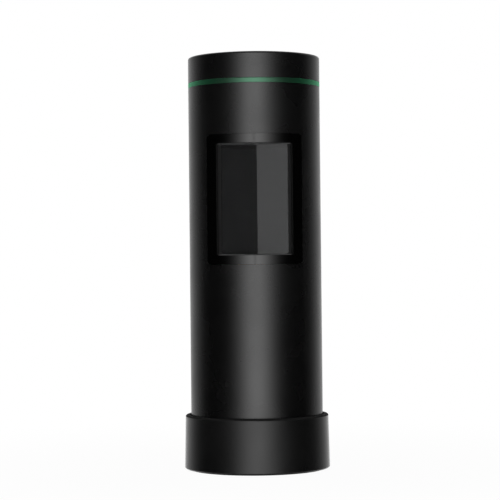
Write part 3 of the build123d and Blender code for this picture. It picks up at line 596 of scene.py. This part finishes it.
def new_node_tree(name, inputs):
    """A geometry tree with named inputs, each with its kind of socket."""
    tree = bpy.data.node_groups.new(name, "GeometryNodeTree")
    tree.interface.new_socket("Geometry", in_out="OUTPUT", socket_type="NodeSocketGeometry")
    for label, kind in inputs.items():
        tree.interface.new_socket(label, in_out="INPUT", socket_type=f"NodeSocket{kind}")
    source = tree.nodes.new("NodeGroupInput").outputs
    sink = tree.nodes.new("NodeGroupOutput").inputs
    return tree, source, sink


def close_tree(tree, geometry, material, sink):
    """Ends a tree with real geometry and its material."""
    real = add_node(tree, "GeometryNodeRealizeInstances", {"Geometry": geometry})
    painted = add_node(
        tree, "GeometryNodeSetMaterial", {"Geometry": real[0], "Material": material}
    )
    tree.links.new(painted[0], sink["Geometry"])


def from_tree(name, tree, values):
    """A plain mesh piece made by a geometry tree."""
    piece = link_object(name, bpy.data.meshes.new(name))
    modifier = piece.modifiers.new(name, "NODES")
    modifier.node_group = tree
    for item in tree.interface.items_tree:
        if item.item_type == "SOCKET" and item.in_out == "INPUT":
            modifier[item.identifier] = values[item.name]
    plain_mesh(piece)
    if not piece.data.polygons:
        raise RuntimeError(f"{name} came out empty")
    return piece


def rounded_ring_tree():
    """A ring of rectangular section with rounded edges."""
    tree, source, sink = new_node_tree(
        "Rounded ring",
        {
            "Middle radius": "Float",
            "Width": "Float",
            "Height": "Float",
            "Level": "Float",
            "Edge radius": "Float",
            "Edge steps": "Int",
            "Turn steps": "Int",
            "Material": "Material",
        },
    )
    path = add_node(
        tree,
        "GeometryNodeCurvePrimitiveCircle",
        {"Resolution": source["Turn steps"], "Radius": source["Middle radius"]},
    )
    section = add_node(
        tree,
        "GeometryNodeCurvePrimitiveQuadrilateral",
        {"Width": source["Width"], "Height": source["Height"]},
    )
    rounded = add_node(
        tree,
        "GeometryNodeFilletCurve",
        {"Curve": section[0], "Radius": source["Edge radius"], "Count": source["Edge steps"]},
        mode="POLY",
    )
    swept = add_node(
        tree, "GeometryNodeCurveToMesh", {"Curve": path[0], "Profile Curve": rounded[0]}
    )
    offset = add_node(tree, "ShaderNodeCombineXYZ", {"Z": source["Level"]})
    placed = add_node(
        tree, "GeometryNodeTransform", {"Geometry": swept[0], "Translation": offset[0]}
    )
    close_tree(tree, placed[0], source["Material"], sink)
    return tree


def ring_piece(name, node, width, edge, material):
    """A rounded ring in the place of a CAD node, with the given radial width."""
    low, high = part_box(node)
    tree = bpy.data.node_groups.get("Rounded ring") or rounded_ring_tree()
    values = {
        "Middle radius": high.x - width / 2,
        "Width": width,
        "Height": high.z - low.z,
        "Level": (high.z + low.z) / 2,
        "Edge radius": edge,
        "Edge steps": EDGE_STEPS,
        "Turn steps": bpy.context.scene.reader_edges.turn_steps,
        "Material": material,
    }
    piece = from_tree(name, tree, values)
    tidy_faces(piece)
    return piece


def rounded_outline(width, height, corner):
    """Points of a rectangle with rounded corners."""
    points = []
    for turn, (side, end) in enumerate(((1, 1), (-1, 1), (-1, -1), (1, -1))):
        for step in range(CORNER_STEPS + 1):
            bearing = math.radians(90 * (turn + step / CORNER_STEPS))
            across = side * (width / 2 - corner) + corner * math.cos(bearing)
            along = end * (height / 2 - corner) + corner * math.sin(bearing)
            points.append((across, along))
    return points


def circle_outline(radius):
    """Points of a circle."""
    turns = (2 * math.pi * step / ROUND_STEPS for step in range(ROUND_STEPS))
    return [(radius * math.cos(turn), radius * math.sin(turn)) for turn in turns]


def stacked(name, loops):
    """A closed piece through loops that have the same number of points."""

    def build(solid):
        rows = [[solid.verts.new(point) for point in loop] for loop in loops]
        count = len(rows[0])
        for row, after in zip(rows, rows[1:]):
            for index in range(count):
                following = (index + 1) % count
                solid.faces.new((row[index], row[following], after[following], after[index]))
        solid.faces.new(rows[0])
        solid.faces.new(rows[-1])

    piece = link_object(name, mesh_from(name, build))
    tidy_faces(piece)
    return piece


def pad_piece(name, node, axis, edge, material):
    """A flat pad with rounded edges in a node's box, round or rectangular, thin along axis."""
    low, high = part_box(node)
    middle = (low + high) / 2
    across = [index for index in range(3) if index != axis]
    width, depth = (high[index] - low[index] for index in across)
    straight = (high - low)[axis] / 2 - edge

    def loop(side, bearing):
        inset = edge * (1 - math.sin(bearing))
        if abs(width - depth) < ROUND_WITHIN:
            outline = circle_outline(width / 2 - inset)
        else:
            outline = rounded_outline(width - 2 * inset, depth - 2 * inset, edge)
        points = []
        for first, second in outline:
            point = middle.copy()
            point[axis] += side * (straight + edge * math.cos(bearing))
            point[across[0]] += first
            point[across[1]] += second
            points.append(point)
        return points

    bearings = [math.radians(90) * step / EDGE_STEPS for step in range(EDGE_STEPS + 1)]
    lower = [loop(-1, bearing) for bearing in bearings]
    upper = [loop(1, bearing) for bearing in reversed(bearings)]
    pad = stacked(name, lower + upper)
    pad.data.materials.append(material)
    return pad


class READER_OT_stage(bpy.types.Operator):
    """Makes the camera, the white backdrop, the table top, the light tent and the card"""

    bl_idname = "reader.stage"
    bl_label = "Stage and camera"

    def execute(self, context):
        studio = context.scene.reader_studio
        make_camera(studio)
        make_backdrop()
        make_table(studio)
        make_tent(studio)
        make_card(studio)
        return {"FINISHED"}


def camera_point(studio):
    """Where the camera stands."""
    turn, distance = studio.camera_azimuth, studio.camera_distance
    return Vector((math.sin(turn) * distance, -math.cos(turn) * distance, studio.camera_height))


def make_camera(studio):
    """A long lens at the picture's height and angle."""
    data = bpy.data.cameras.new("camera")
    data.lens = studio.lens
    data.sensor_width = 36
    data.clip_start = 0.01
    data.clip_end = 10
    camera = link_object("camera", data)
    turn = Matrix.Rotation(studio.camera_azimuth + studio.camera_yaw, 4, "Z")
    lift = Matrix.Rotation(math.radians(90) + studio.camera_pitch, 4, "X")
    lean = Matrix.Rotation(studio.camera_roll, 4, "Z")
    camera.matrix_world = Matrix.Translation(camera_point(studio)) @ turn @ lift @ lean
    bpy.context.scene.camera = camera


def seen_directly(tree):
    """1 for rays from the camera, off a gloss or through glass."""
    path = add_node(tree, "ShaderNodeLightPath")
    rays = (path[f"Is {kind} Ray"] for kind in ("Camera", "Glossy", "Transmission"))
    return chain(tree, "MAXIMUM", *rays)


def make_backdrop():
    """A white backdrop for the camera. The tent keeps its light off the reader."""
    world = bpy.data.worlds.new("backdrop")
    world.use_nodes = True
    bpy.context.scene.world = world
    tree = world.node_tree
    inputs = tree.nodes["Background"].inputs
    feed(tree, inputs["Strength"], seen_directly(tree))
    feed(tree, inputs["Color"], (1, 1, 1))


def stage_object(name, mesh, material):
    """A thing of the studio, which isn't part of the reader."""
    thing = link_object(name, mesh)
    thing.data.materials.append(material)
    return thing


def make_table(studio):
    """A pale table top that melts into the backdrop, keeps a faint shadow, and doesn't
    hide the underside from below."""
    radius = studio.table_radius
    material, tree, surface = empty_material("pale_table")
    matt = add_node(tree, "ShaderNodeBsdfDiffuse", {"Color": (studio.table_tone,) * 3})
    glow = add_node(tree, "ShaderNodeEmission")
    place = {0: place_coordinates(tree)}
    reach = add_node(tree, "ShaderNodeVectorMath", place, operation="LENGTH")["Value"]
    glow_share = map_range(
        tree, reach, studio.shade_radius, radius, studio.table_glow, 1.0, smooth=True
    )
    factor = math_node(tree, "MULTIPLY", glow_share, seen_directly(tree))
    above = add_node(tree, "ShaderNodeMixShader", {0: factor, 1: matt[0], 2: glow[0]})
    from_below = add_node(tree, "ShaderNodeNewGeometry")["Backfacing"]
    clear = add_node(tree, "ShaderNodeBsdfTransparent")
    both = add_node(tree, "ShaderNodeMixShader", {0: from_below, 1: above[0], 2: clear[0]})
    tree.links.new(both[0], surface)
    mesh = mesh_from(
        "table_top",
        lambda solid: bmesh.ops.create_circle(
            solid, cap_ends=True, segments=ROUND_STEPS, radius=radius
        ),
    )
    stage_object("table_top", mesh, material).visible_glossy = False


def bell(tree, bearing, spread, level):
    """Light that fades like a bell curve with the bearing."""
    square = math_node(tree, "MULTIPLY", bearing, bearing)
    fade = math_node(tree, "MULTIPLY", square, -1 / (2 * spread**2))
    return math_node(tree, "MULTIPLY", math_node(tree, "EXPONENT", fade), level)


def glowing_material(name, level):
    """A material that glows at the level that a function of its tree gives."""
    material, tree, surface = empty_material(name)
    glow = add_node(tree, "ShaderNodeEmission", {"Strength": level(tree)})
    tree.links.new(glow[0], surface)
    return material


def tent_level(tree, studio):
    """How the tent glows: bright in front, dark at the sides, pale at the rear."""
    radius = studio.tent_radius
    place = axes(tree)
    front = camera_point(studio)
    towards = weighted_sum(tree, (place["X"], front.x), (place["Y"], front.y))
    nearness = math_node(tree, "DIVIDE", towards, radius * studio.camera_distance)
    bearing = math_node(tree, "ARCCOSINE", nearness)
    behind = math_node(tree, "SUBTRACT", math.pi, bearing)
    fade_from, fade_to = studio.key_top - studio.key_fade, studio.key_top + studio.key_fade
    low_enough = map_range(tree, place["Z"], fade_from, fade_to, 1, 0, smooth=True)
    key = bell(tree, bearing, studio.key_spread, studio.key_level)
    turns = studio.rear_from, studio.rear_full
    levels = studio.side_level, studio.rear_level
    wall = chain(
        tree,
        "ADD",
        math_node(tree, "MULTIPLY", key, low_enough),
        bell(tree, behind, studio.back_spread, studio.back_level),
        map_range(tree, bearing, *turns, *levels, smooth=True),
    )
    almost = 0.999 * radius
    on_roof = math_node(tree, "GREATER_THAN", place["Z"], almost)
    on_ground = math_node(tree, "LESS_THAN", place["Z"], -almost)
    on_wall = math_node(tree, "SUBTRACT", 1.0, math_node(tree, "MAXIMUM", on_roof, on_ground))
    ends = (on_roof, studio.roof_level), (on_ground, studio.ground_level)
    return weighted_sum(tree, (wall, on_wall), *ends)


def make_tent(studio):
    """A closed drum of glowing cloth round the table."""
    radius = studio.tent_radius
    mesh = mesh_from(
        "light_tent",
        lambda solid: bmesh.ops.create_cone(
            solid,
            cap_ends=True,
            segments=TENT_SIDES,
            radius1=radius,
            radius2=radius,
            depth=2 * radius,
        ),
    )
    cloth = glowing_material("tent_cloth", lambda tree: tent_level(tree, studio))
    stage_object("light_tent", mesh, cloth).visible_camera = False


def make_card(studio):
    """A small two-tone card by the camera, which the flat glass mirrors."""
    camera = camera_point(studio)
    glass_y = GLASS_LOW.y
    card_y = -studio.card_distance
    mirrored = Vector((camera.x, 2 * glass_y - camera.y, camera.z))

    def seen_at(x, z):
        point = Vector((x, glass_y, z))
        way = point - mirrored
        return point + way * ((card_y - glass_y) / way.y)

    margin = studio.card_margin
    low = seen_at(GLASS_LOW.x, GLASS_LOW.z)
    high = seen_at(GLASS_HIGH.x, GLASS_HIGH.z)
    left, right = low.x - margin, high.x + margin
    bottom, top = low.z - margin, high.z + margin
    mesh = bpy.data.meshes.new("two_tone_card")
    corners = ((left, bottom), (right, bottom), (right, top), (left, top))
    mesh.from_pydata([(x, card_y, z) for x, z in corners], [], [(0, 1, 2, 3)])
    edge = seen_at(studio.card_split, GLASS_LOW.z).x

    def level(tree):
        pale = math_node(tree, "GREATER_THAN", axes(tree)["X"], edge)
        return map_range(tree, pale, 0, 1, studio.card_shade, studio.card_level)

    card = stage_object("two_tone_card", mesh, glowing_material("two_tone", level))
    card.visible_camera = False
    card.visible_diffuse = False
    card.visible_shadow = False


def chosen(context):
    """The finishes and the small sizes that the user has chosen."""
    return context.scene.reader_finish, context.scene.reader_edges


class READER_OT_shell(bpy.types.Operator):
    """Coats the tube and the head"""

    bl_idname = "reader.shell"
    bl_label = "Tube and head"

    def execute(self, context):
        finish, _ = chosen(context)
        coat = grained(
            "black_coat", finish.coat_colour, finish.coat_roughness, grain=0.1, depth=0.0004
        )
        assign(coat, "body_tube", "head_cap")
        return {"FINISHED"}


class READER_OT_band(bpy.types.Operator):
    """Makes the green band with fine rounded edges"""

    bl_idname = "reader.band"
    bl_label = "Green band"

    def execute(self, context):
        finish, edges = chosen(context)
        green = grained(
            "green_band", finish.band_colour, finish.band_roughness, grain=0.1, depth=0.0008
        )
        looks = {
            "Metallic": 1.0,
            "Specular Tint": finish.band_edge_colour,
            "Sheen Weight": finish.bloom_weight,
            "Sheen Roughness": finish.bloom_roughness,
            "Sheen Tint": finish.band_bloom,
        }
        set_shader(green.node_tree, looks)
        band = ring_piece("green_band", "accent_ring", edges.band_width, edges.band_edge, green)
        finish_piece(band, "instrument", ["accent_ring"])
        return {"FINISHED"}


class READER_OT_window(bpy.types.Operator):
    """Finishes the window frame and the display, and makes the cover glass"""

    bl_idname = "reader.window"
    bl_label = "Window and display"

    def execute(self, context):
        finish, edges = chosen(context)
        side = edges.recess_side
        recess = box_mask(GLASS_LOW - Vector((side, 0, 0)), GLASS_HIGH + Vector((side, MM, 0)))
        gloss = Surface(finish.frame_colour, finish.frame_roughness)
        matt = Surface(finish.frame_colour, finish.recess_roughness)
        black = two_part("gloss_black", recess, gloss, matt, grain=0.9, depth=0.0003)
        assign(black, "window_bezel")
        assign(screen_material(finish, edges), "display_panel")
        tape = grained("black_tape", finish.tape_colour, 0.75, grain=0.2, depth=0.003)
        set_shader(tape.node_tree, {"Specular IOR Level": finish.tape_gloss})
        assign(tape, "display_tape")
        stripes = stripe_mask(2, edges.guide_pitch, 0.4)
        plate = Surface(finish.guide_colour, 0.35)
        lines = Surface(finish.line_colour, 0.25)
        guide = two_part("milky_guide", stripes, plate, lines, grain=0.6, depth=0.004)
        assign(guide, "display_backlight")
        make_glass(finish, edges)
        return {"FINISHED"}


def make_glass(finish, edges):
    """The cover glass, with narrow sloping ends and black ink on its sloping sides."""
    low, high = GLASS_LOW, GLASS_HIGH
    width, height = high.x - low.x, high.z - low.z
    level = (low.z + high.z) / 2

    def loop(inset, end_inset, y):
        outline = rounded_outline(width - 2 * inset, height - 2 * end_inset, edges.glass_corner)
        return [(x, y, level + z) for x, z in outline]

    loops = [
        loop(edges.glass_side, 0, high.y - edges.glass_gap),
        loop(edges.glass_side, 0, low.y + edges.glass_drop),
        loop(edges.glass_side + edges.glass_slope, edges.glass_end_slope, low.y),
    ]
    glass = stacked("cover_glass", loops)
    clear = glass_material("cover_glass", finish.glass_tint)
    ink = grained("glass_ink", finish.ink_colour, finish.ink_roughness, grain=0.2, depth=0.0005)
    for material in (clear, ink):
        glass.data.materials.append(material)
    for face in glass.data.polygons:
        face.material_index = int(abs(face.normal.x) > SIDEWAYS)
    finish_piece(glass, "instrument", ["display_glass"])


class READER_OT_button(bpy.types.Operator):
    """Finishes the measure button and the switch under it"""

    bl_idname = "reader.button"
    bl_label = "Measure button"

    def execute(self, context):
        finish, edges = chosen(context)
        touch = grained(
            "soft_touch", finish.button_colour, finish.button_roughness, grain=0.14, depth=0.002
        )
        assign(touch, "measure_button")
        ivory = grained("plunger_ivory", finish.ivory_colour, 0.4, grain=0.2, depth=0.001)
        assign(ivory, "switch_plunger")
        low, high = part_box("button_switch")
        lid = box_mask((low.x, low.y, high.z - edges.switch_lid), (high.x, high.y, high.z + MM))
        case = Surface(finish.switch_colour, 0.6)
        steel = Surface(finish.steel_colour, 0.35, 1.0)
        switch = two_part("switch_case", lid, case, steel, grain=0.3, depth=0.002)
        assign(switch, "button_switch")
        return {"FINISHED"}


def contact_tree():
    """Rows of flat contacts on both sides of a tongue."""
    tree, source, sink = new_node_tree(
        "Socket contacts",
        {
            "Count": "Int",
            "Pitch": "Float",
            "Size": "Vector",
            "First": "Vector",
            "Other side": "Vector",
            "Material": "Material",
        },
    )
    step = add_node(tree, "ShaderNodeCombineXYZ", {"X": source["Pitch"]})
    line = add_node(
        tree,
        "GeometryNodeMeshLine",
        {"Count": source["Count"], "Start Location": source["First"], "Offset": step[0]},
    )
    pad = add_node(tree, "GeometryNodeMeshCube", {"Size": source["Size"]})
    row = add_node(
        tree, "GeometryNodeInstanceOnPoints", {"Points": line[0], "Instance": pad[0]}
    )
    moved = {"Geometry": row[0], "Translation": source["Other side"]}
    other = add_node(tree, "GeometryNodeTransform", moved)
    both = tree.nodes.new("GeometryNodeJoinGeometry")
    tree.links.new(row[0], both.inputs[0])
    tree.links.new(other[0], both.inputs[0])
    close_tree(tree, both.outputs[0], source["Material"], sink)
    return tree


class READER_OT_socket(bpy.types.Operator):
    """Finishes the charging socket and makes its contacts"""

    bl_idname = "reader.socket"
    bl_label = "Charging socket"

    def execute(self, context):
        finish, edges = chosen(context)
        low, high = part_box("usb_socket")
        level = (low.z + high.z) / 2
        tip = high.y - edges.tongue_depth
        margin = edges.tongue_margin
        half_width = edges.tongue_width / 2 + margin
        half_height = edges.tongue_height / 2 + margin
        tongue = box_mask(
            (-half_width, low.y + MM, level - half_height),
            (half_width, tip + margin, level + half_height),
        )
        steel = Surface(finish.steel_colour, 0.3, 1.0)
        plastic = Surface(finish.tongue_colour, 0.5)
        shell = two_part("socket_shell", tongue, steel, plastic, grain=0.4, depth=0.002)
        assign(shell, "usb_socket")
        height = edges.contact_height
        rise = edges.tongue_height / 2 + height / 2
        middle = tip - edges.contact_setback - edges.contact_length / 2
        first = -edges.contact_pitch * (edges.contact_count - 1) / 2
        values = {
            "Count": edges.contact_count,
            "Pitch": edges.contact_pitch,
            "Size": (edges.contact_width, edges.contact_length, height),
            "First": (first, middle, level + rise),
            "Other side": (0, 0, -2 * rise),
            "Material": brushed("gold_contact", finish.gold_colour, 0.25, (1, 0.2, 1)),
        }
        contacts = from_tree("socket_contacts", contact_tree(), values)
        finish_piece(contacts, "instrument")
        return {"FINISHED"}


class READER_OT_base(bpy.types.Operator):
    """Finishes the base and its tile, and makes the foot, the seat and the tile's pad"""

    bl_idname = "reader.base"
    bl_label = "Calibration base"

    def execute(self, context):
        finish, edges = chosen(context)
        assign(moulded_material(finish, edges), "base_shell", "tile_retainer")
        white, roughness = finish.tile_colour, finish.tile_roughness
        glaze = grained("white_glaze", white, roughness, grain=0.5, depth=0.0006, tone=0.01)
        set_shader(glaze.node_tree, {"Coat Weight": finish.tile_coat})
        assign(glaze, "white_tile")
        rubber = grained("foot_rubber", finish.foot_colour, 0.75, grain=0.25, depth=0.01)
        foot = ring_piece(
            "rubber_foot", "base_foot_ring", edges.foot_width, edges.foot_edge, rubber
        )
        finish_piece(foot, "base", ["base_foot_ring"])
        soft = foam("seat_foam", finish.foam_colour)
        seat = ring_piece("foam_seat", "seat_ring", edges.seat_width, edges.seat_edge, soft)
        finish_piece(seat, "base", ["seat_ring"])
        disc = pad_piece("tile_pad", "tile_cushion", 2, edges.pad_edge, soft)
        finish_piece(disc, "base", ["tile_cushion"])
        return {"FINISHED"}


class READER_OT_nose(bpy.types.Operator):
    """Finishes the nose with its port window, and all screws"""

    bl_idname = "reader.nose"
    bl_label = "Nose and screws"

    def execute(self, context):
        finish, _ = chosen(context)
        black = grained("nose_black", finish.nose_colour, 0.6, grain=0.18, depth=0.003)
        assign(black, "nose_ring")
        assign(glass_material("port_glass", finish.port_tint), "port_window")
        steel = brushed("screw_steel", finish.steel_colour, 0.3, (1, 1, 0.3))
        held = ("nose", "sphere", "main_board", "usb_board", "button_board")
        assign(steel, *(f"{name}_screws" for name in held))
        return {"FINISHED"}


class READER_OT_optics(bpy.types.Operator):
    """Finishes the sphere, the lamps and the detector's lens and barrel"""

    bl_idname = "reader.optics"
    bl_label = "Measuring optics"

    def execute(self, context):
        finish, edges = chosen(context)
        white = grained(
            "diffuse_white", finish.sphere_colour, 0.9, grain=0.12, depth=0.006, tone=0.01
        )
        assign(white, "sphere_lower_half", "sphere_upper_half", "light_baffle")
        black = grained("optics_black", finish.barrel_colour, 0.92, grain=0.1, depth=0.01)
        assign(black, "lens_barrel", "lens_retainer")
        assign(glass_material("lens_glass", finish.lens_tint), "detector_lens")
        low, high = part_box("leds")
        top = low.z + edges.phosphor_height
        face = box_mask((low.x, low.y, low.z - MM), (high.x, high.y, top))
        case = Surface(finish.lamp_colour, 0.5)
        phosphor = Surface(finish.phosphor_colour, 0.35)
        assign(two_part("lamps", face, case, phosphor, grain=0.2, depth=0.002), "leds")
        return {"FINISHED"}


class READER_OT_electronics(bpy.types.Operator):
    """Finishes the boards, chips, connectors and flat leads"""

    bl_idname = "reader.electronics"
    bl_label = "Electronics"

    def execute(self, context):
        finish, edges = chosen(context)
        mask = Surface(finish.board_colour, 0.32)
        track = Surface(finish.track_colour, 0.28)
        flat, upright = (0, 0, 0), (math.radians(90), 0, 0)
        turned = {"led": flat, "button": flat, "usb": flat, "sensor": upright, "main": upright}
        for name, turn in turned.items():
            tracks = track_mask(turn)
            board = two_part(f"{name}_board_mask", tracks, mask, track, grain=0.3, depth=0.01)
            assign(board, f"{name}_board")
        chip = grained("chip_black", finish.chip_colour, 0.55, grain=0.08, depth=0.004)
        assign(chip, "processor_chip", "memory_chip", "colour_sensor")
        can = brushed("shield_can", finish.steel_colour, 0.35, (0.2, 1, 1))
        assign(can, "wireless_module")
        plastic = Surface(finish.ivory_colour, 0.5)
        gold = Surface(finish.gold_colour, 0.3, 1.0)
        pins = stripe_mask(0, edges.pin_pitch, 0.3)
        ivory = two_part("ivory_connector", pins, plastic, gold, grain=0.2, depth=0.002)
        assign(ivory, *(f"{name}_connector" for name in ("display", "lead", "button")))
        film = Surface(finish.lead_colour, 0.3)
        copper = Surface(finish.wire_colour, 0.27, 0.35)
        wires = stripe_mask(0, edges.wire_pitch, 0.45)
        amber = two_part("amber_lead", wires, film, copper, grain=0.4, depth=0.002)
        assign(amber, *(f"{name}_flex" for name in ("display", "sensor", "led", "usb", "button")))
        return {"FINISHED"}


class READER_OT_power(bpy.types.Operator):
    """Finishes the spine and the cell, and makes the cell's pad"""

    bl_idname = "reader.power"
    bl_label = "Spine and cell"

    def execute(self, context):
        finish, edges = chosen(context)
        spine = grained("spine_grey", finish.spine_colour, 0.62, grain=0.2, depth=0.004)
        assign(spine, "chassis")
        low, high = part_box("battery_cell")
        cap = Vector((0, 0, edges.cell_cap))
        wrap = box_mask(low + cap, high - cap)
        steel = Surface(finish.steel_colour, 0.3, 1.0)
        film = Surface(finish.cell_colour, 0.25)
        cell = two_part("cell_wrap", wrap, steel, film, grain=1.5, depth=0.01)
        assign(cell, "battery_cell")
        plate = brushed("contact_plate", finish.steel_colour, 0.28, (0.2, 1, 1))
        assign(plate, "battery_contacts")
        soft = foam("cell_foam", finish.foam_colour)
        pad = pad_piece("cell_pad", "battery_pad", 1, edges.pad_edge, soft)
        finish_piece(pad, "instrument", ["battery_pad"])
        return {"FINISHED"}


class READER_PT_panel(bpy.types.Panel):
    """Lists the steps that finish the reader, and its colours and sizes"""

    bl_label = "Colour reader"
    bl_idname = "READER_PT_panel"
    bl_space_type = "VIEW_3D"
    bl_region_type = "UI"
    bl_category = "Colour reader"

    def draw(self, context):
        for step in STEPS:
            self.layout.operator(step.bl_idname)
        for name in GROUPS:
            group = getattr(context.scene, name)
            for key in group.bl_rna.properties.keys():
                if key not in ("rna_type", "name"):
                    self.layout.prop(group, key)


GROUPS = {
    "reader_finish": ReaderFinish,
    "reader_edges": ReaderEdges,
    "reader_studio": ReaderStudio,
}
STEPS = (
    READER_OT_stage,
    READER_OT_shell,
    READER_OT_band,
    READER_OT_window,
    READER_OT_button,
    READER_OT_socket,
    READER_OT_base,
    READER_OT_nose,
    READER_OT_optics,
    READER_OT_electronics,
    READER_OT_power,
)


def register():
    for group in GROUPS.values():
        bpy.utils.register_class(group)
    for name, group in GROUPS.items():
        setattr(bpy.types.Scene, name, PointerProperty(type=group))
    for step in (*STEPS, READER_PT_panel):
        bpy.utils.register_class(step)


def unregister():
    for step in (READER_PT_panel, *reversed(STEPS)):
        bpy.utils.unregister_class(step)
    for name, group in GROUPS.items():
        delattr(bpy.types.Scene, name)
        bpy.utils.unregister_class(group)


def main():
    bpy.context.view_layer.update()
    register()
    bpy.context.scene.view_settings.view_transform = "Standard"
    bpy.ops.reader.stage()
    bpy.ops.reader.shell()
    bpy.ops.reader.band()
    bpy.ops.reader.window()
    bpy.ops.reader.button()
    bpy.ops.reader.socket()
    bpy.ops.reader.base()
    bpy.ops.reader.nose()
    bpy.ops.reader.optics()
    bpy.ops.reader.electronics()
    bpy.ops.reader.power()


if __name__ == "__main__":
    main()
